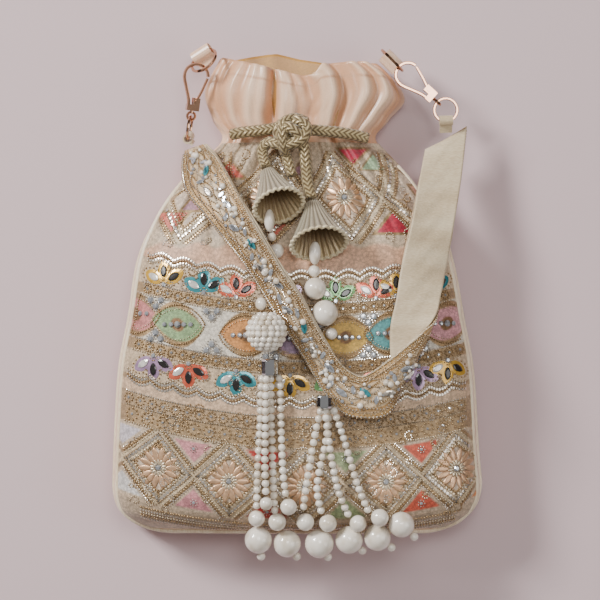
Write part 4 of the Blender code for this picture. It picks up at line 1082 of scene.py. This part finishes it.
def strap_beads(place):
    """Rings along both borders, pearls and marquises down the middle, and filigree between."""
    rng = np.random.default_rng(5)
    beads = Beads("strap", "bag", "embroidery", place)
    last = place.length * 0.655
    s = np.arange(3, last, 0.5)
    for v, look, size in ((-10.4, "pale_gold", 0.5), (-8.0, "gold", 0.5), (8.0, "gold", 0.5), (10.4, "silver", 0.6)):
        beads.line("seed", look, s, np.full(s.shape, v), 1.15, size)
    at = np.arange(4, last, 3.6)
    for v in (-9.2, 9.2):
        beads.ring("seed", "pale_gold", at, np.full(at.shape, v), 1.15, 6, 0.42)
    scallop = 10.6 + 1.1 * np.abs(np.sin(s * np.pi / 7.2))
    beads.line("seed", "gold", s, np.minimum(scallop, 10.98), 1.2, 0.55)
    for v in np.arange(-6.8, 6.9, 1.7):
        wave = v + 0.7 * np.sin(s * 0.55 + v * 2.0)
        beads.line("seed", ("gold", "pale_gold", "silver")[int(v * 10) % 3], s, wave, 1.25, 0.46)
    for k, middle in enumerate(np.arange(9, last - 3, 12.0)):
        look = ("crystal", "teal", "silver", "crystal")[k % 4]
        tilt = rng.uniform(-40, 40)
        beads.petals(look, middle, 2.2 * (-1) ** k, np.array([0.0, 180.0]) + tilt, 0.0, 3.3, 1.0, 0.8)
        beads.petals("crystal", middle + 5, -2.6 * (-1) ** k, np.array([tilt + 70]), 0.0, 2.2, 1.1, 0.8)
    for x, y in zip(rng.uniform(4, last - 4, 76), rng.uniform(-6.4, 6.4, 76)):
        beads.put("pearl", "pearl", x, y, rng.choice((0.9, 1.2, 1.6)), None, 0.9)
    for x, y in zip(rng.uniform(4, last - 4, 60), rng.uniform(-6.4, 6.4, 60)):
        beads.put("stone", "crystal", x, y, rng.uniform(0.7, 1.2), None, 0.7)
    rim = np.arange(last, place.length - 2, 0.5)
    beads.line("seed", "gold", rim, np.full(rim.shape, -10.9), 1.2, 0.5, -0.6)
    beads.finish()


# ---------------------------------------------------------------- drawstring and bells

def over(x, y, lift):
    """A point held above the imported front."""
    return x, y, float(linear_front_z(x, y)) + lift


def cord_mesh(name, line, radius):
    """Tube about a line with UVs that run once around and one turn for every two plaits."""
    sides = 20
    pitch = 1.5 * settings().plait_pitch / MM
    line = np.asarray(line)
    run = np.concatenate([[0], np.cumsum(np.linalg.norm(np.diff(line, axis=0), axis=1))])
    plait = radius * (1 + 0.04 * np.cos(run * 4 * np.pi / pitch))
    plait[0], plait[-1] = radius * 0.7, radius * 0.75
    angle = np.linspace(0, 1, sides + 1)
    tangent = unit(np.gradient(line, axis=0))
    side = unit(np.cross(tangent, (0, 0, 1.0)))
    top = np.cross(side, tangent)
    ring = (line[:, None] + side[:, None] * (np.cos(angle * 2 * np.pi)[None, :] * plait[:, None])[..., None]
            + top[:, None] * (np.sin(angle * 2 * np.pi)[None, :] * plait[:, None])[..., None])
    verts = np.vstack([ring.reshape(-1, 3), line[:1], line[-1:]])
    count, wide = len(line), sides + 1
    faces = triangles(grid_faces(count, wide))
    j = np.arange(sides)
    first = np.stack([np.full(sides, count * wide), j + 1, j], axis=1)
    end = (count - 1) * wide
    last = np.stack([np.full(sides, count * wide + 1), end + j, end + j + 1], axis=1)
    faces = outwards(verts, np.vstack([faces, first, last]))
    uv = np.stack([np.broadcast_to(angle[None], (count, wide)), np.broadcast_to(run[:, None] / pitch, (count, wide))],
                  axis=-1).reshape(-1, 2)
    uv = np.vstack([uv, [[0.5, 0]], [[0.5, run[-1] / pitch]]])
    return build(name, verts, faces, materials()["cord"], uv=uv)


def make_drawstring():
    """Two cords out of the neck that cross in the knot and end in the bells, and the short bow."""
    knot = {"left": [(-11.0, 85.6, 6.4), (-6.0, 88.4, 9.4), (0.5, 88.8, 11.0), (4.2, 85.5, 11.6), (2.6, 80.5, 12.4),
                     (-3.0, 77.6, 11.8), (-9.6, 77.4, 9.6), (-14.6, 78.4, 7.0)],
            "right": [(4.0, 84.6, 6.6), (-1.5, 82.6, 9.0), (-7.5, 80.6, 11.0), (-9.8, 83.6, 12.2), (-6.0, 86.0, 13.4),
                      (-0.6, 83.0, 13.6), (2.6, 77.8, 9.4)]}
    ends = {"left": bell_mesh("left"), "right": bell_mesh("right")}
    for side in ("left", "right"):
        route = DRAWSTRING[f"drawstring_{side}_run"][:-1] + knot[side] + DRAWSTRING[f"drawstring_{side}_tail"][1:]
        line = spline([over(*p) for p in route], 150)
        obj = cord_mesh(f"{side}_drawstring", line, 2.9)
        with_knot = ("drawstring_knot",) if side == "left" else ()
        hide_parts(f"drawstring_{side}_run", f"drawstring_{side}_tail", *with_knot)
    route = [(4.6, 88.4, 7.0), (-1.5, 90.2, 9.6), (-7.2, 87.6, 13.0), (-7.8, 81.6, 14.6), (-7.2, 75.6, 10.6)]
    line = spline([over(*p) for p in route + DRAWSTRING["drawstring_bow"]], 110)
    obj = cord_mesh("drawstring_loop", line, 2.6)
    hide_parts("drawstring_bow")


def loop_tube(line, radius, sides, up):
    """Closed ring of tube about a closed line of points."""
    line = np.asarray(line, float)
    tangent = unit(np.roll(line, -1, axis=0) - np.roll(line, 1, axis=0))
    side = unit(np.cross(tangent, np.asarray(up, float)))
    top = np.cross(side, tangent)
    a = np.linspace(0, 2 * np.pi, sides, endpoint=False)[None, :, None]
    ring = line[:, None] + radius * (side[:, None] * np.cos(a) + top[:, None] * np.sin(a))
    n = len(line)
    faces = grid_faces(n + 1, sides, wrap=True) % (n * sides)
    verts = ring.reshape(-1, 3)
    faces = triangles(faces)
    return verts, outwards(verts, faces)


def bell_mesh(side):
    """Pleated cone of cloth: its radius grows down the axis and its pleats deepen towards the rim."""
    top, mouth, radius, lean = BELLS[side]
    top, mouth = np.array(over(*top)), np.array(over(*mouth))
    axis = unit(mouth - top)
    flat = unit(axis * [1, 1, 0])
    t = np.linspace(0, 1, 36)
    turn = unit(flat * math.sqrt(1 - lean ** 2) + np.array([0, 0, lean]))
    normal = unit(axis + (turn - axis) * (t ** 1.5)[:, None])
    u = unit(np.cross([0, 0, 1.0], normal))
    v = np.cross(normal, u)
    a = np.linspace(0, 2 * np.pi, 150, endpoint=False)
    base = 3.6 + (radius - 3.6) * t ** 1.15

    def wall(inset):
        """Pleated wall at an inset from the outside, and its pleats."""
        pleat = (0.5 + 0.5 * np.cos(25 * a))[None, :] ** 0.7
        r = base[:, None] - inset + (pleat - 0.6) * (0.35 + 1.1 * t)[:, None]
        shift = np.linspace(1.0, 0.0, 36)[:, None] * inset
        return ((top + (mouth - top) * t[:, None] + normal * shift)[:, None]
                + u[:, None] * (np.cos(a) * r)[..., None] + v[:, None] * (np.sin(a) * r)[..., None]), pleat

    outer, pleat = wall(0.0)
    inner, _ = wall(0.8)
    rows = np.concatenate([outer, inner[::-1]])
    verts, faces = shell(rows)
    # Painted shade: the outside is dark in the pleats' valleys and pale on their crests; the inside is dark deep in the
    # cone and paler towards the mouth.
    shade = lay(np.broadcast_to(tint("#786c57", 0.4), (*outer.shape[:2], 4)), tint("#bdb39b", 0.4),
                np.broadcast_to(pleat, outer.shape[:2]))
    deep = lay(np.broadcast_to(tint("#6a4a26", 0.3), (*outer.shape[:2], 4)), tint("#c8b48a", 0.4),
               np.broadcast_to((t ** 2.2)[:, None] * (0.45 + 0.55 * pleat), outer.shape[:2]))
    colour = np.concatenate([shade, deep[::-1]]).reshape(-1, 4)
    colour = np.vstack([colour, colour[:1], colour[-1:]])
    obj = build(f"{side}_bell_cloth", verts, outwards(verts, faces), materials()["bell"],
                colour=colour)
    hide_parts(f"{side}_bell")
    rim_verts, rim_faces = loop_tube(outer[-1] * 0.5 + inner[-1] * 0.5 - normal[-1] * 0.2, 0.75, 8, normal[-1])
    build(f"{side}_bell_rim", rim_verts, rim_faces, materials()["bell_rim"])
    return obj


# ---------------------------------------------------------------- pearls

def balls(name, beads, body, around, rings):
    """Ellipsoids given as (centre, (radius x, y, z)), each a sphere of latitude rings, in one mesh."""
    lat = np.linspace(-np.pi / 2, np.pi / 2, rings + 1)[1:-1]
    lon = np.linspace(0, 2 * np.pi, around, endpoint=False)
    sphere = np.stack([np.cos(lat)[:, None] * np.cos(lon), np.cos(lat)[:, None] * np.sin(lon),
                       np.repeat(np.sin(lat)[:, None], around, axis=1)], axis=-1)
    verts, faces = shell(sphere)
    faces = outwards(verts, faces)
    verts[-2:] = [[0, 0, -1], [0, 0, 1]]
    centres = np.array([b[0] for b in beads], float)
    radii = np.array([b[1] for b in beads], float)
    every = centres[:, None] + verts[None] * radii[:, None]
    all_faces = faces[None] + (np.arange(len(beads)) * len(verts))[:, None, None]
    return build(name, every.reshape(-1, 3), all_faces.reshape(-1, 3), materials()["pearl"], body)


def make_stems():
    """Beads above each tassel and the ball of seed pearls."""
    for side, beads in STEMS.items():
        for kind, x, y, across, along, lift in beads:
            centre = over(x, y, lift)
            obj = balls(f"{side}_{kind}_bead", [(centre, (across, along, across))], "bag", around=40, rings=24)
            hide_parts(f"{side}_{kind}_pearl")
    x, y, radius, lift = SEED_BALL
    centre = np.array(over(x, y, lift))
    reach = radius - 1.7
    seeds = []
    for lat in np.arange(-80, 81, 18.2):
        r = reach * math.cos(math.radians(lat))
        count = max(1, int(round(2 * np.pi * r / 3.2)))
        for k in range(count):
            a = 2 * np.pi * (k + 0.5 * (round(lat) % 2)) / count
            seeds.append((centre + [r * math.cos(a), reach * math.sin(math.radians(lat)), r * math.sin(a)], (1.6,) * 3))
    seeds.append((centre, (reach * 0.93,) * 3))
    obj = balls("seed_pearls", seeds, "bag", around=14, rings=9)
    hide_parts("seed_pearl_ball")


def make_strands():
    """Strings of small pearls with their larger end pearls."""
    for side, strands in STRANDS.items():
        for letter, (route, pearls) in strands.items():
            body = f"{side}_fringe"
            points = [over(x, y, lift) for x, y, lift in route]
            cap = over(CAPS[side][0], CAPS[side][1] - CAPS[side][3], CAPS[side][4])
            first = np.array(points[0]) * 0.75 + np.array(cap) * 0.25
            gap = np.array(pearls[0][:3]) - points[-1]
            last = np.array(pearls[0][:3]) - unit(gap) * (pearls[0][3] + 1.6)
            line = spline([first, *points, last], 200)
            length = length_of(line)
            count = int(length / 3.75)
            at = np.interp((np.arange(count) + 0.5) / count, np.linspace(0, 1, 200), np.arange(200))
            beads = [(line[int(i)], (1.88,) * 3) for i in at]
            string = balls(f"{side}_string_{letter}", beads, body, around=18, rings=10)
            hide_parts(f"{side}_strand_{letter}")
            ends = [(np.array(p[:3]), (p[3],) * 3) for p in pearls]
            end = balls(f"{side}_end_{letter}", ends, body, around=44, rings=26)


# ---------------------------------------------------------------- hardware

def make_hardware():
    """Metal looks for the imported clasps, rings and caps, and cloth for the tabs and the strap's ends."""
    m = materials()
    looks = {"tab_satin": ("left_tab", "right_tab"), "dupion": ("left_strap_end", "right_strap_end"),
             "chrome": ("left_cap", "right_cap"),
             "rose_gold": tuple(f"{side}_{kind}" for side in ("left", "right")
                                for kind in ("tab_ring", "hook", "gate", "rivet", "eye", "strap_ring"))}
    for look, names in looks.items():
        for name in names:
            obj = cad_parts[name]
            obj.data.materials.clear()
            obj.data.materials.append(m[look])


# ---------------------------------------------------------------- stage

def make_stage():
    """Pale floor, three soft lamps and a long lens straight above the bag."""
    floor_material, _, shader = new_material("studio floor", 0.9)
    shader.inputs["Base Color"].default_value = (*settings().floor_tint, 1.0)
    mesh = bpy.data.meshes.new("floor")
    s = 3.0
    mesh.from_pydata([(-s, -s, -0.0005), (s, -s, -0.0005), (s, s, -0.0005), (-s, s, -0.0005)], [], [(0, 1, 2, 3)])
    mesh.materials.append(floor_material)
    floor = bpy.data.objects.new("floor", mesh)
    bpy.context.scene.collection.objects.link(floor)
    for name, place, size, energy in (("key", (-1.2, 0.9, 1.05), 0.42, 46.0), ("fill", (0.9, -0.1, 0.8), 0.6, 3.0),
                                      ("top", (0.1, 0.35, 1.4), 0.5, 6.5)):
        data = bpy.data.lights.new(name, "AREA")
        data.size, data.energy = size, energy
        lamp = bpy.data.objects.new(name, data)
        lamp.location = place
        lamp.rotation_euler = (Vector((0, 0, 0)) - Vector(place)).to_track_quat("-Z", "Y").to_euler()
        bpy.context.scene.collection.objects.link(lamp)
    world = bpy.data.worlds.new("room")
    world.use_nodes = True
    tree = world.node_tree
    height = node(tree, "ShaderNodeSeparateXYZ", {"Vector": node(tree, "ShaderNodeTexCoord").outputs["Generated"]})
    tree.links.new(ramp(tree, height.outputs["Z"], ((0.05, "#4a4442"), (0.35, "#8d8582"), (0.6, "#fdf8f4"))),
                   tree.nodes["Background"].inputs["Color"])
    tree.nodes["Background"].inputs["Strength"].default_value = 0.34
    bpy.context.scene.world = world
    data = bpy.data.cameras.new("camera")
    data.sensor_width = 36
    data.lens = 36 * 1.2 / 0.3
    camera = bpy.data.objects.new("camera", data)
    camera.location = (0.001, 0.0, 1.23)
    bpy.context.scene.collection.objects.link(camera)
    bpy.context.scene.camera = camera


# ---------------------------------------------------------------- add-on

class PotliSettings(bpy.types.PropertyGroup):
    """What a user can change before building the bag."""

    fold_depth: bpy.props.FloatProperty(name="Fold depth", description="Depth of the gathers at the neck",
                                        default=0.0046, min=0.0, max=0.006, unit="LENGTH")
    bead_pitch: bpy.props.FloatProperty(name="Bead pitch", description="Distance between the seed beads of a border",
                                        default=0.0012, min=0.0009, max=0.003, unit="LENGTH")
    plait_pitch: bpy.props.FloatProperty(name="Plait pitch", description="Length of one plait of the drawstring",
                                         default=0.0018, min=0.001, max=0.01, unit="LENGTH")
    filigree: bpy.props.IntProperty(name="Filigree", description="Number of beaded curls that fill the front",
                                    default=420, min=0, max=900, subtype="UNSIGNED")
    floor_tint: bpy.props.FloatVectorProperty(name="Floor", description="Colour of the studio floor", subtype="COLOR",
                                              size=3, default=srgb("#ceb7b9")[:3], min=0.0, max=1.0)


class POTLI_OT_pouch(bpy.types.Operator):
    """Build the gathered satin pouch, its lining, its front panel and its piping"""

    bl_idname = "potli.pouch"
    bl_label = "Build pouch"
    bl_options = {"REGISTER", "UNDO"}

    def execute(self, context):
        """Run the step."""
        make_pouch_cloth()
        make_front_panel()
        make_piping()
        return {"FINISHED"}


class POTLI_OT_beadwork(bpy.types.Operator):
    """Lay the beads, sequins and mirrors over the front panel"""

    bl_idname = "potli.beadwork"
    bl_label = "Build beadwork"
    bl_options = {"REGISTER", "UNDO"}

    def execute(self, context):
        """Run the step."""
        make_beadwork()
        return {"FINISHED"}


class POTLI_OT_strap(bpy.types.Operator):
    """Build the strap's embroidered face, its beads and its plain backing"""

    bl_idname = "potli.strap"
    bl_label = "Build strap"
    bl_options = {"REGISTER", "UNDO"}

    def execute(self, context):
        """Run the step."""
        make_strap()
        return {"FINISHED"}


class POTLI_OT_drawstring(bpy.types.Operator):
    """Build the drawstring cords with their knot and the two cloth bells"""

    bl_idname = "potli.drawstring"
    bl_label = "Build drawstring"
    bl_options = {"REGISTER", "UNDO"}

    def execute(self, context):
        """Run the step."""
        make_drawstring()
        return {"FINISHED"}


class POTLI_OT_pearls(bpy.types.Operator):
    """Build the stem beads, the ball of seed pearls and the strings of pearls"""

    bl_idname = "potli.pearls"
    bl_label = "Build pearls"
    bl_options = {"REGISTER", "UNDO"}

    def execute(self, context):
        """Run the step."""
        make_stems()
        make_strands()
        return {"FINISHED"}


class POTLI_OT_hardware(bpy.types.Operator):
    """Give the clasps, rings, tabs and caps their looks"""

    bl_idname = "potli.hardware"
    bl_label = "Finish hardware"
    bl_options = {"REGISTER", "UNDO"}

    def execute(self, context):
        """Run the step."""
        make_hardware()
        return {"FINISHED"}


class POTLI_OT_stage(bpy.types.Operator):
    """Set the floor, the lamps and the camera"""

    bl_idname = "potli.stage"
    bl_label = "Set stage"
    bl_options = {"REGISTER", "UNDO"}

    def execute(self, context):
        """Run the step."""
        make_stage()
        return {"FINISHED"}


class POTLI_PT_panel(bpy.types.Panel):
    """Settings and build steps in the 3D view's sidebar"""

    bl_idname = "POTLI_PT_panel"
    bl_label = "Potli Bag"
    bl_space_type = "VIEW_3D"
    bl_region_type = "UI"
    bl_category = "Potli"

    def draw(self, context):
        """Lay out the settings, then one button for each step."""
        potli = context.scene.potli
        for name in ("fold_depth", "bead_pitch", "plait_pitch", "filigree", "floor_tint"):
            self.layout.prop(potli, name)
        for step in STEPS:
            self.layout.operator(step.bl_idname)


STEPS = (POTLI_OT_pouch, POTLI_OT_beadwork, POTLI_OT_strap, POTLI_OT_drawstring, POTLI_OT_pearls, POTLI_OT_hardware,
         POTLI_OT_stage)
CLASSES = (PotliSettings, *STEPS, POTLI_PT_panel)


def settings():
    """The scene's settings for the bag."""
    return bpy.context.scene.potli


def register():
    """Add the classes and the scene's settings."""
    for cls in CLASSES:
        bpy.utils.register_class(cls)
    bpy.types.Scene.potli = bpy.props.PointerProperty(type=PotliSettings)


def unregister():
    """Take the settings and the classes away again."""
    del bpy.types.Scene.potli
    for cls in reversed(CLASSES):
        bpy.utils.unregister_class(cls)


def main():
    """Register the add-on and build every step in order."""
    register()
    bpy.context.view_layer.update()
    for step in STEPS:
        group, name = step.bl_idname.split(".")
        result = getattr(getattr(bpy.ops, group), name)()
        if "FINISHED" not in result:
            raise RuntimeError(f"{step.bl_label} did not finish")


if __name__ == "__main__":
    main()
